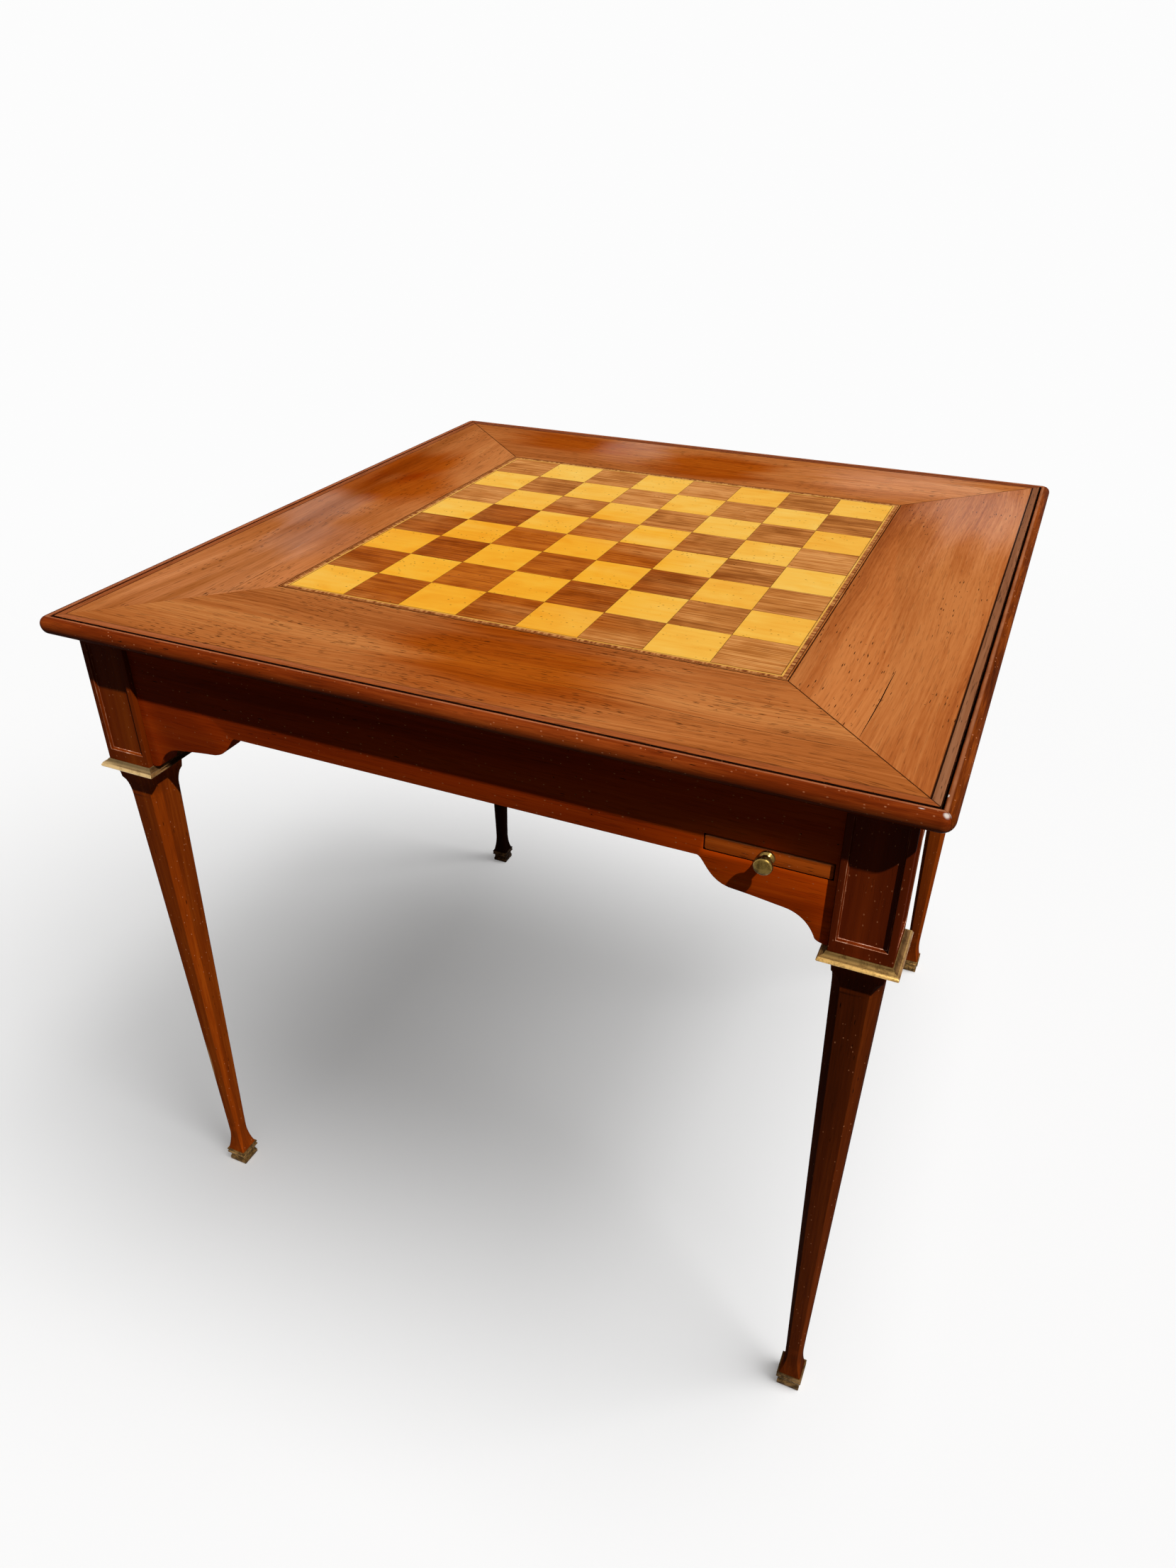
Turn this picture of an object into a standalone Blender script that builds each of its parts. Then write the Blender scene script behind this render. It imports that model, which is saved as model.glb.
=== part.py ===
"""Tric trac table, built in metres with +Z up and its front towards -Y.

A square games table: a lift-off chequered top, a backgammon well under it, a candle slide for each
of the two players, and four tapered legs with brass collars and shoes. The origin is on the floor,
under the middle of the table.
"""

import math

import bmesh
import bpy
from mathutils import Matrix, Vector
from mathutils.geometry import interpolate_bezier

# Whole table
top_width = 0.806
surface_height = 0.745
joint_gap = 0.0003
cut_overrun = 0.002

# Chequered board: squares, then a light string, a cross band and a dark string round them
squares_per_side = 8
square_size = 0.0605
veneer_thickness = 0.0015
light_string_width = 0.0017
cross_band_width = 0.0032
dark_string_width = 0.0022

# Lift-off top: core panel, border boards, edge moulding and the cloth below
top_thickness = 0.016
tongue_thickness = 0.003
core_tongue_length = 0.006
moulding_width = 0.0195
moulding_tongue_length = 0.0045
roll_radius = 0.007
roll_rise = 0.0001
roll_start_angle = math.radians(25)
roll_steps = 5
quirk_width = 0.0024
quirk_depth = 0.003
corner_radius = 0.010
corner_steps = 3
baize_margin = 0.103
baize_thickness = 0.0012

# Legs: the block at the top, then collar seat, neck, taper, ankle and the stub in the shoe
block_width = 0.050
block_drop = 0.152
top_overhang = 0.023
arris_width = 0.0008
panel_width = 0.036
panel_depth = 0.003
panel_slope_width = 0.001
panel_top_margin = 0.013
panel_bottom_margin = 0.011
collar_seat_width = 0.044
neck_height = 0.034
neck_steps = 4
taper_top_width = 0.0392
taper_top_chamfer = 0.0082
ankle_width = 0.0166
ankle_chamfer = 0.0032
ankle_height = 0.050
ankle_steps = 3
foot_width = 0.0226
stub_width = 0.0164

# Brass collars and shoes
collar_height = 0.008
collar_projection = 0.0065
collar_fillet_width = 0.0015
collar_edge_radius = 0.0018
collar_edge_steps = 3
shoe_height = 0.020
shoe_top_width = 0.0256
shoe_waist_width = 0.0206
shoe_base_width = 0.0230
shoe_bead_depth = 0.0008
shoe_floor_thickness = 0.0035
shoe_base_chamfer = 0.0008

# Aprons: boards with bracket ends, tenoned into the legs
apron_thickness = 0.021
apron_setback = 0.005
apron_drop = 0.098
bracket_drop = 0.150
bracket_length = 0.108
bracket_steps = 5
tenon_thickness = 0.008
tenon_length = 0.025
upper_tenon_margin = 0.012
upper_tenon_height = 0.042
lower_tenon_margin = 0.012
lower_tenon_height = 0.040

# Game well
well_depth = 0.0437
floor_thickness = 0.008
floor_groove_depth = 0.006
rail_thickness = 0.012
rim_thickness = 0.006
rim_overhang = 0.002
bar_width = 0.024
points_per_half = 6
point_base_width = 0.046
point_length = 0.250
well_veneer_thickness = 0.0015
peg_hole_radius = 0.0025
peg_hole_setback = 0.019
peg_hole_sides = 8

# Locating pins between the frame and the top
pin_radius = 0.004
pin_spread = 0.400
pin_buried_length = 0.018
pin_raised_length = 0.009
pin_tip_length = 0.0015
pin_sides = 12

# Candle slides
slide_width = 0.0995
slide_thickness = 0.0135
slide_drop = 0.0770
slide_leg_margin = 0.0038
slide_travel = 0.190
slide_tail_length = 0.020
facing_thickness = 0.012
facing_projection = 0.0005
facing_edge_radius = 0.003
facing_edge_steps = 3
facing_tongue_length = 0.005
facing_tongue_thickness = 0.0045
slot_side_clearance = 0.0015
slot_top_clearance = 0.0008
slot_bottom_clearance = 0.0018
stop_radius = 0.003
stop_rise = 0.0045
stop_clearance = 0.0005
stop_sides = 12

# Runner trays under the floor of the well
tray_wall = 0.0095
tray_floor = 0.004
tray_side_clearance = 0.0006
tray_end_wall = 0.008
screw_radius = 0.0018
screw_head_radius = 0.0034
screw_head_height = 0.002
screw_bite = 0.005
screw_sides = 8
screw_end_shares = (0.12, 0.88)

# Brass knob: turned, with a shank that screws into the slide
knob_head_radius = 0.00775
knob_neck_radius = 0.0038
knob_flange_radius = 0.0057
knob_flange_thickness = 0.0014
knob_neck_length = 0.0062
knob_projection = 0.0178
knob_shank_radius = 0.002
knob_shank_length = 0.019
knob_sides = 20
knob_head_steps = 6

# The four sides, each a quarter turn on from the one before, and how close two points are one point
side_names = ("front", "right", "back", "left")
weld_distance = joint_gap / 100

# Plan distances that follow from the sizes above, measured from the middle of the table
top_half = top_width / 2
block_outer = top_half - top_overhang
block_inner = block_outer - block_width
leg_centre = block_outer - block_width / 2
apron_outer = block_outer - apron_setback
apron_inner = apron_outer - apron_thickness
apron_middle = (apron_outer + apron_inner) / 2
apron_end = block_inner - joint_gap
board_half = squares_per_side * square_size / 2
light_string_inner = board_half + joint_gap
light_string_outer = light_string_inner + light_string_width
cross_band_inner = light_string_outer + joint_gap
cross_band_outer = cross_band_inner + cross_band_width
dark_string_inner = cross_band_outer + joint_gap
core_half = dark_string_inner + dark_string_width
border_inner = core_half + joint_gap
moulding_inner = top_half - moulding_width
border_outer = moulding_inner - joint_gap
baize_half = top_half - baize_margin
rail_outer = block_inner - joint_gap
rail_inner = rail_outer - rail_thickness
rim_inner = rail_inner - rim_overhang
rim_outer = apron_inner - joint_gap
bar_half = bar_width / 2
peg_hole_row = rail_inner + peg_hole_setback
slide_half = slide_width / 2
slide_centre = block_inner - slide_leg_margin - slide_half

# Heights that follow from the sizes above, measured from the floor
top_underside = surface_height - top_thickness
veneer_underside = surface_height - veneer_thickness
core_top = veneer_underside - joint_gap
core_underside = top_underside + baize_thickness + joint_gap
tongue_middle = (core_top + core_underside) / 2
frame_top = top_underside - joint_gap
block_bottom = surface_height - block_drop
apron_bottom = surface_height - apron_drop
bracket_bottom = surface_height - bracket_drop
well_floor_top = frame_top - well_depth
well_floor_bottom = well_floor_top - floor_thickness
rim_bottom = frame_top - rim_thickness
rail_top = rim_bottom - joint_gap
rail_bottom = well_floor_top + joint_gap
veneer_top = rail_bottom + well_veneer_thickness
collar_top = block_bottom - joint_gap
collar_bottom = collar_top - collar_height
neck_top = collar_bottom
neck_bottom = neck_top - neck_height
slide_top = surface_height - slide_drop
slide_bottom = slide_top - slide_thickness
slide_middle = (slide_top + slide_bottom) / 2

# The bracket's outline in shares of its length and of its drop below the straight edge. Each row is
# one curve: where it starts, its two handles and where it ends.
bracket_curve_shares = (
    ((0.00, 0.00), (0.06, 0.03), (0.09, 0.43), (0.30, 0.44)),
    ((0.30, 0.44), (0.42, 0.46), (0.54, 0.50), (0.66, 0.53)),
    ((0.66, 0.53), (0.78, 0.56), (0.86, 0.72), (0.90, 0.93)),
    ((0.90, 0.93), (0.92, 0.98), (0.96, 0.99), (1.00, 1.00)),
)


def clear_scene():
    for thing in list(bpy.data.objects):
        bpy.data.objects.remove(thing, do_unlink=True)


def finish(name, colour, roughness, metallic=0.0):
    """A plain Principled material."""
    material = bpy.data.materials.new(name)
    material.use_nodes = True
    shader = material.node_tree.nodes["Principled BSDF"]
    shader.inputs["Base Color"].default_value = (*colour, 1.0)
    shader.inputs["Roughness"].default_value = roughness
    shader.inputs["Metallic"].default_value = metallic
    return material


def empty(name, location=(0, 0, 0), quarter_turns=0, parent=None):
    """An empty that carries the pieces that move together."""
    carrier = bpy.data.objects.new(name, None)
    carrier.location = location
    carrier.rotation_euler = (0, 0, quarter_turns * math.pi / 2)
    carrier.parent = parent
    bpy.context.collection.objects.link(carrier)
    return carrier


def make_mesh(name, form, smooth_angle=None):
    """Turn a bmesh into a mesh with its faces pointing out."""
    bmesh.ops.recalc_face_normals(form, faces=form.faces)
    mesh = bpy.data.meshes.new(name)
    form.to_mesh(mesh)
    form.free()
    if smooth_angle is not None:
        mesh.shade_smooth()
        mesh.set_sharp_from_angle(angle=smooth_angle)
    return mesh


def piece(name, mesh, material, carrier, location=(0, 0, 0), quarter_turns=0):
    """Place one physical piece under its own name, in one material or in a tuple of them."""
    thing = bpy.data.objects.new(name, mesh)
    thing.location = location
    thing.rotation_euler = (0, 0, quarter_turns * math.pi / 2)
    thing.parent = carrier
    if not mesh.materials:
        for coat in material if isinstance(material, tuple) else (material,):
            mesh.materials.append(coat)
    bpy.context.collection.objects.link(thing)
    return thing


def add_box(form, low, high):
    """Add a closed box between two corners."""
    size = Vector(high) - Vector(low)
    middle = (Vector(high) + Vector(low)) / 2
    place = Matrix.Translation(middle) @ Matrix.Diagonal((*size, 1))
    bmesh.ops.create_cube(form, size=1, matrix=place)


def add_rod(form, foot, length, radius, sides, axis="Z"):
    """Add a closed cylinder that rises from its foot along an axis."""
    turn = Matrix.Identity(4)
    if axis == "Y":
        turn = Matrix.Rotation(-math.pi / 2, 4, "X")
    place = Matrix.Translation(foot) @ turn @ Matrix.Translation((0, 0, length / 2))
    bmesh.ops.create_cone(
        form, cap_ends=True, segments=sides, radius1=radius, radius2=radius, depth=length, matrix=place)


def add_slab(form, outline, low, high):
    """Add a flat outline in plan, raised from one height to another."""
    corners = [form.verts.new((x, y, low)) for x, y in outline]
    face = form.faces.new(corners)
    grown = bmesh.ops.extrude_face_region(form, geom=[face])
    raised = [item for item in grown["geom"] if isinstance(item, bmesh.types.BMVert)]
    bmesh.ops.translate(form, verts=raised, vec=(0, 0, high - low))


def add_loft(form, rings, looped=False):
    """Skin a row of rings; a looped row is a closed hoop, any other gets a cap at each end."""
    rows = [[form.verts.new(point) for point in ring] for ring in rings]
    pairs = list(zip(rows, rows[1:]))
    if looped:
        pairs.append((rows[-1], rows[0]))
    for here, there in pairs:
        for index in range(len(here)):
            after = (index + 1) % len(here)
            form.faces.new((here[index], here[after], there[after], there[index]))
    if not looped:
        form.faces.new(rows[0])
        form.faces.new(rows[-1])


def carved(form, cutter, operation="DIFFERENCE"):
    """Cut a bmesh with another, or join them, and return the result as a new bmesh."""
    things = []
    for label, shape in (("blank", form), ("cutter", cutter)):
        things.append(bpy.data.objects.new(label, make_mesh(label, shape)))
        bpy.context.collection.objects.link(things[-1])
    blank, tool = things
    cut = blank.modifiers.new("cut", "BOOLEAN")
    cut.operation = operation
    cut.solver = "EXACT"
    cut.object = tool
    result = bmesh.new()
    result.from_object(blank, bpy.context.evaluated_depsgraph_get())
    for thing in things:
        mesh = thing.data
        bpy.data.objects.remove(thing, do_unlink=True)
        bpy.data.meshes.remove(mesh)
    return result


def square_ring(half, height, chamfer=None):
    """A square section, with its corners cut off where a chamfer is given."""
    if chamfer is None:
        return [(-half, -half, height), (half, -half, height), (half, half, height), (-half, half, height)]
    flat = half - chamfer
    return [
        (-flat, -half, height), (flat, -half, height), (half, -flat, height), (half, flat, height),
        (flat, half, height), (-flat, half, height), (-half, flat, height), (-half, -flat, height)]


def turned(profile, sides):
    """Spin a profile of (radius, height) pairs, which starts and ends on the axis, round Z."""
    form = bmesh.new()
    line = [form.verts.new((radius, 0, height)) for radius, height in profile]
    edges = [form.edges.new(pair) for pair in zip(line, line[1:])]
    bmesh.ops.spin(
        form, geom=line + edges, cent=(0, 0, 0), axis=(0, 0, 1), angle=2 * math.pi, steps=sides,
        use_merge=True)
    bmesh.ops.remove_doubles(form, verts=form.verts, dist=weld_distance)
    return form


def mitred_strip(profile, round_from=None):
    """The front one of four strips that meet in mitres, from its section of (distance, height) pairs.

    Distance is measured from the middle of the table. What lies past round_from turns the corner
    in an arc; the rest ends on the mitre.
    """
    angles = [math.pi / 4 * step / corner_steps for step in range(corner_steps, -1, -1)]
    if round_from is None:
        angles = [0]

    def place(distance, height, angle, side):
        if round_from is None or distance <= round_from:
            return side * (distance - joint_gap), -distance, height
        arm = distance - round_from
        along = round_from - joint_gap + arm * math.sin(angle)
        return side * along, -round_from - arm * math.cos(angle), height

    rings = [[place(*point, angle, -1) for point in profile] for angle in angles]
    rings += [[place(*point, angle, 1) for point in profile] for angle in reversed(angles)]
    form = bmesh.new()
    add_loft(form, rings)
    bmesh.ops.remove_doubles(form, verts=form.verts, dist=weld_distance)
    return form


def arc(centre, reach, rise, start, end, steps):
    """Points along an arc from one angle to another, with a radius across and a radius up and down."""
    angles = [start + (end - start) * step / steps for step in range(steps + 1)]
    return [(centre[0] + reach * math.cos(angle), centre[1] + rise * math.sin(angle)) for angle in angles]


def hoop(inner, outer, low, high):
    """A flat square frame, such as a string let into the top."""
    form = bmesh.new()
    corners = ((inner, low), (outer, low), (outer, high), (inner, high))
    add_loft(form, [square_ring(half, height) for half, height in corners], looped=True)
    return form


def chequer_mesh():
    """The sheet of sixty-four veneer squares, light and dark by turns, the near left one light."""
    form = bmesh.new()
    place = Matrix.Translation((0, 0, surface_height))
    bmesh.ops.create_grid(
        form, x_segments=squares_per_side, y_segments=squares_per_side, size=board_half, matrix=place)
    for face in form.faces:
        middle = face.calc_center_median()
        column = math.floor((middle.x + board_half) / square_size)
        row = math.floor((middle.y + board_half) / square_size)
        face.material_index = (column + row) % 2
    thicken(form, veneer_thickness)
    return make_mesh("chequer_veneer", form)


def thicken(form, depth):
    """Give a flat sheet of faces its thickness, downwards."""
    top = list(form.faces)
    grown = bmesh.ops.extrude_face_region(form, geom=top, use_keep_orig=True)
    lowered = [item for item in grown["geom"] if isinstance(item, bmesh.types.BMVert)]
    bmesh.ops.translate(form, verts=lowered, vec=(0, 0, -depth))


def core_mesh():
    """The panel that carries the squares, with a tongue all round for the border boards."""
    tongue_low = tongue_middle - tongue_thickness / 2
    tongue_high = tongue_middle + tongue_thickness / 2
    tongue_half = core_half + core_tongue_length
    profile = (
        (core_half, core_underside), (core_half, tongue_low), (tongue_half, tongue_low),
        (tongue_half, tongue_high), (core_half, tongue_high), (core_half, core_top))
    form = bmesh.new()
    add_loft(form, [square_ring(half, height) for half, height in profile])
    return make_mesh("board_core", form)


def border_profile():
    """Section of a border board: grooved for the core, tongued for the moulding, rebated below."""
    half_tongue = tongue_thickness / 2
    half_groove = half_tongue + joint_gap
    groove_end = border_inner + core_tongue_length
    tongue_end = border_outer + moulding_tongue_length
    rebate = baize_half + joint_gap
    return (
        (border_inner, surface_height), (border_outer, surface_height),
        (border_outer, tongue_middle + half_tongue), (tongue_end, tongue_middle + half_tongue),
        (tongue_end, tongue_middle - half_tongue), (border_outer, tongue_middle - half_tongue),
        (border_outer, top_underside), (rebate, top_underside), (rebate, core_underside),
        (border_inner, core_underside), (border_inner, tongue_middle - half_groove),
        (groove_end, tongue_middle - half_groove), (groove_end, tongue_middle + half_groove),
        (border_inner, tongue_middle + half_groove))


def moulding_profile():
    """Section of the edge moulding: a flat band, a quirk and a roll, grooved for the border."""
    half_groove = tongue_thickness / 2 + joint_gap
    groove_end = moulding_inner + moulding_tongue_length
    roll_axis = top_half - roll_radius
    roll_height = surface_height + roll_rise - roll_radius
    lower_radius = roll_height - top_underside
    roll_edge = roll_axis - roll_radius * math.sin(roll_start_angle)
    points = [
        (moulding_inner, surface_height), (roll_edge - quirk_width, surface_height),
        (roll_edge - quirk_width, surface_height - quirk_depth), (roll_edge, surface_height - quirk_depth)]
    centre = (roll_axis, roll_height)
    quarter = math.pi / 2
    points += arc(centre, roll_radius, roll_radius, quarter + roll_start_angle, 0, roll_steps)
    points += arc(centre, roll_radius, lower_radius, 0, -quarter, roll_steps)[1:]
    points += [
        (moulding_inner, top_underside), (moulding_inner, tongue_middle - half_groove),
        (groove_end, tongue_middle - half_groove), (groove_end, tongue_middle + half_groove),
        (moulding_inner, tongue_middle + half_groove)]
    return points


def border_mesh(name, with_sockets):
    """A border board; the front and back ones have blind sockets for the locating pins."""
    form = mitred_strip(border_profile())
    if with_sockets:
        sockets = bmesh.new()
        socket_length = pin_raised_length + joint_gap + cut_overrun
        for side in (-1, 1):
            foot = (side * pin_spread / 2, -apron_middle, top_underside - cut_overrun)
            add_rod(sockets, foot, socket_length, pin_radius + joint_gap, pin_sides)
        form = carved(form, sockets)
    return make_mesh(name, form)


def build_top(carrier, finishes):
    piece("chequer_veneer", chequer_mesh(), (finishes["light_veneer"], finishes["dark_veneer"]), carrier)
    strings = (
        ("light_string", light_string_inner, light_string_outer, "light_veneer"),
        ("cross_band", cross_band_inner, cross_band_outer, "frame_wood"),
        ("dark_string", dark_string_inner, core_half, "dark_line"))
    for name, inner, outer, slot in strings:
        form = hoop(inner, outer, veneer_underside, surface_height)
        piece(name, make_mesh(name, form), finishes[slot], carrier)
    piece("board_core", core_mesh(), finishes["inner_wood"], carrier)
    cloth = bmesh.new()
    cloth_top = top_underside + baize_thickness
    add_box(cloth, (-baize_half, -baize_half, top_underside), (baize_half, baize_half, cloth_top))
    piece("baize", make_mesh("baize", cloth), finishes["baize"], carrier)
    boards = (border_mesh("border_with_sockets", True), border_mesh("border_plain", False))
    round_from = top_half - corner_radius
    moulding = make_mesh("edge_moulding", mitred_strip(moulding_profile(), round_from), math.radians(35))
    for turns, side in enumerate(side_names):
        piece("border_" + side, boards[turns % 2], finishes["top_wood"], carrier, quarter_turns=turns)
        piece("edge_moulding_" + side, moulding, finishes["frame_wood"], carrier, quarter_turns=turns)


def leg_rings():
    """Sections of a leg from the top of its block down to the stub inside the shoe."""
    rows = [
        (frame_top, block_width, arris_width),
        (block_bottom, block_width, arris_width),
        (block_bottom, collar_seat_width, arris_width),
        (neck_top, collar_seat_width, arris_width)]
    for step in range(1, neck_steps + 1):
        share = step / neck_steps
        hollow = 1 - (1 - share) ** 2
        width = collar_seat_width + (taper_top_width - collar_seat_width) * hollow
        chamfer = arris_width + (taper_top_chamfer - arris_width) * share
        rows.append((neck_top - neck_height * share, width, chamfer))
    rows.append((ankle_height, ankle_width, ankle_chamfer))
    foot_top = shoe_height + joint_gap
    for step in range(1, ankle_steps + 1):
        share = step / ankle_steps
        width = ankle_width + (foot_width - ankle_width) * share ** 2
        chamfer = ankle_chamfer + (arris_width - ankle_chamfer) * share
        rows.append((ankle_height + (foot_top - ankle_height) * share, width, chamfer))
    rows.append((foot_top, stub_width, arris_width))
    rows.append((shoe_floor_thickness + joint_gap, stub_width, arris_width))
    return [square_ring(width / 2, height, chamfer) for height, width, chamfer in rows]


def tenon_spans():
    """Lowest and highest points of the two tenons at each end of an apron."""
    upper_top = frame_top - upper_tenon_margin
    lower_bottom = bracket_bottom + lower_tenon_margin
    return (
        (upper_top - upper_tenon_height, upper_top),
        (lower_bottom, lower_bottom + lower_tenon_height))


def leg_mesh():
    """The front left leg about its own axis: its outer faces look to -X and -Y."""
    form = bmesh.new()
    add_loft(form, leg_rings())
    cutter = bmesh.new()
    tenon_line = leg_centre - apron_middle
    half_mortise = tenon_thickness / 2 + joint_gap
    inner_face = block_width / 2
    mortise_end = inner_face - joint_gap - tenon_length - joint_gap
    across = (tenon_line - half_mortise, tenon_line + half_mortise)
    along = (mortise_end, inner_face + cut_overrun)
    for low, high in tenon_spans():
        floor, ceiling = low - joint_gap, high + joint_gap
        add_box(cutter, (along[0], across[0], floor), (along[1], across[1], ceiling))
        add_box(cutter, (across[0], along[0], floor), (across[1], along[1], ceiling))
    add_panel_cutters(cutter)
    return make_mesh("leg", carved(form, cutter), math.radians(20))


def add_panel_cutters(cutter):
    """Wedges that sink a panel into each outer face of the block."""
    outer_face = block_width / 2
    sunk = outer_face - panel_depth
    panel_low = block_bottom + panel_bottom_margin
    panel_high = frame_top - panel_top_margin
    slope = panel_slope_width / panel_depth
    rings = []
    for depth in (sunk, outer_face + cut_overrun):
        spread = (depth - sunk) * slope
        half = panel_width / 2 + spread - panel_slope_width
        low = panel_low - spread + panel_slope_width
        high = panel_high + spread - panel_slope_width
        rings.append((depth, half, low, high))
    front = [[(-half, -depth, low), (half, -depth, low), (half, -depth, high), (-half, -depth, high)]
             for depth, half, low, high in rings]
    left = [[(y, x, z) for x, y, z in ring] for ring in front]
    add_loft(cutter, front)
    add_loft(cutter, left)


def apron_outline():
    """Front view of an apron as (along, height) pairs, from the top left corner round."""
    drop = apron_bottom - bracket_bottom
    start = apron_end - bracket_length
    curve = []
    for shares in bracket_curve_shares:
        knots = [Vector((start + x * bracket_length, apron_bottom - z * drop, 0)) for x, z in shares]
        points = interpolate_bezier(*knots, bracket_steps)
        curve += points if not curve else points[1:]
    right = [(point.x, point.y) for point in curve]
    left = [(-x, z) for x, z in reversed(right)]
    return [(-apron_end, frame_top)] + left + right + [(apron_end, frame_top)]


def apron_mesh(name, with_slot):
    """The front apron, with its tenons, the groove for the well's floor and any slot for a slide."""
    outline = apron_outline()
    form = bmesh.new()
    rings = [[(x, -distance, z) for x, z in outline] for distance in (apron_outer, apron_inner)]
    add_loft(form, rings)
    tenons = bmesh.new()
    for low, high in tenon_spans():
        for side in (-1, 1):
            ends = sorted((side * (apron_end - cut_overrun), side * (apron_end + tenon_length)))
            near = -apron_middle - tenon_thickness / 2
            far = -apron_middle + tenon_thickness / 2
            add_box(tenons, (ends[0], near, low), (ends[1], far, high))
    form = carved(form, tenons, "UNION")
    cutter = bmesh.new()
    groove_wall = -apron_inner - floor_groove_depth - joint_gap
    add_box(
        cutter, (-apron_end - cut_overrun, groove_wall, well_floor_bottom - joint_gap),
        (apron_end + cut_overrun, cut_overrun - apron_inner, well_floor_top + joint_gap))
    if with_slot:
        slot_half = slide_half + slot_side_clearance
        add_box(
            cutter,
            (slide_centre - slot_half, -apron_outer - cut_overrun, slide_bottom - slot_bottom_clearance),
            (slide_centre + slot_half, cut_overrun - apron_inner, slide_top + slot_top_clearance))
        for side in (-1, 1):
            foot = (side * pin_spread / 2, -apron_middle, frame_top - pin_buried_length - joint_gap)
            length = pin_buried_length + joint_gap + cut_overrun
            add_rod(cutter, foot, length, pin_radius + joint_gap, pin_sides)
    return make_mesh(name, carved(form, cutter), math.radians(30))


def collar_mesh():
    """A square brass ring whose face slopes out to a rounded lower edge."""
    inner = collar_seat_width / 2 + joint_gap
    fillet = block_width / 2 + collar_fillet_width
    outer = block_width / 2 + collar_projection
    edge = collar_edge_radius
    profile = [
        (inner, collar_top), (fillet, collar_top), (fillet, collar_top - collar_fillet_width / 2),
        (outer, collar_bottom + 2 * edge)]
    profile += arc((outer - edge, collar_bottom + edge), edge, edge, 0, -math.pi / 2, collar_edge_steps)
    profile.append((inner, collar_bottom))
    form = bmesh.new()
    add_loft(form, [square_ring(half, height) for half, height in profile], looped=True)
    return make_mesh("collar", form)


def shoe_mesh():
    """A square brass shoe: two beads at its mouth, a waist and a spread base, hollow for the leg."""
    mouth = shoe_top_width / 2
    waist = shoe_waist_width / 2
    base = shoe_base_width / 2
    pocket = stub_width / 2 + joint_gap
    groove = mouth - shoe_bead_depth
    height_shares = ((mouth, 1.00), (mouth, 0.90), (groove, 0.86), (groove, 0.82), (mouth, 0.78),
                     (mouth, 0.68), (waist, 0.60), (waist, 0.38), (base, 0.24))
    profile = [(pocket, shoe_floor_thickness), (pocket, shoe_height)]
    profile += [(half, shoe_height * share) for half, share in height_shares]
    profile += [(base, shoe_base_chamfer), (base - shoe_base_chamfer, 0)]
    form = bmesh.new()
    add_loft(form, [square_ring(half, height) for half, height in profile])
    return make_mesh("shoe", form)


def build_legs(carrier, finishes):
    leg = leg_mesh()
    collar = collar_mesh()
    shoe = shoe_mesh()
    corners = (("front_left", -1, -1), ("front_right", 1, -1), ("back_right", 1, 1), ("back_left", -1, 1))
    for turns, (corner, x_side, y_side) in enumerate(corners):
        spot = (x_side * leg_centre, y_side * leg_centre, 0)
        piece("leg_" + corner, leg, finishes["frame_wood"], carrier, spot, turns)
        piece("collar_" + corner, collar, finishes["brass"], carrier, spot, turns)
        piece("shoe_" + corner, shoe, finishes["brass"], carrier, spot, turns)


def build_aprons(carrier, finishes):
    boards = (apron_mesh("apron_with_slot", True), apron_mesh("apron_plain", False))
    for turns, side in enumerate(side_names):
        piece("apron_" + side, boards[turns % 2], finishes["frame_wood"], carrier, quarter_turns=turns)
    profile = (
        (0, -pin_buried_length), (pin_radius, -pin_buried_length),
        (pin_radius, pin_raised_length - pin_tip_length),
        (pin_radius - pin_tip_length, pin_raised_length), (0, pin_raised_length))
    pin_mesh = make_mesh("locating_pin", turned(profile, pin_sides), math.radians(40))
    for y_name, y_side in (("front", -1), ("back", 1)):
        for x_name, x_side in (("left", -1), ("right", 1)):
            spot = (x_side * pin_spread / 2, y_side * apron_middle, frame_top)
            piece(f"locating_pin_{y_name}_{x_name}", pin_mesh, finishes["inner_wood"], carrier, spot)


def well_veneer_mesh(name, x_side):
    """The floor veneer of one half of the well, with its points let in flush: light and dark by turns."""
    half_base = point_base_width / 2
    pitch = (rail_inner - bar_half) / points_per_half
    end = rail_inner - joint_gap
    inner_side = x_side * (bar_half + joint_gap)
    outer_side = x_side * end
    form = bmesh.new()
    points = []
    borders = []
    for y_side in (-1, 1):
        border = []
        for index in range(points_per_half):
            middle = x_side * (bar_half + pitch * (index + 0.5))
            corners = (
                (middle - x_side * half_base, y_side * end), (middle, y_side * (end - point_length)),
                (middle + x_side * half_base, y_side * end))
            verts = [form.verts.new((x, y, veneer_top)) for x, y in corners]
            points.append((verts, 1 + (index + (x_side > 0) + (y_side > 0)) % 2))
            border += verts
        first = form.verts.new((inner_side, y_side * end, veneer_top))
        last = form.verts.new((outer_side, y_side * end, veneer_top))
        borders.append([first] + border + [last])
    form.faces.new(borders[0] + list(reversed(borders[1])))
    for verts, material_index in points:
        form.faces.new(verts).material_index = material_index
    bmesh.ops.recalc_face_normals(form, faces=form.faces)
    thicken(form, well_veneer_thickness)
    return make_mesh(name, form)


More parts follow.
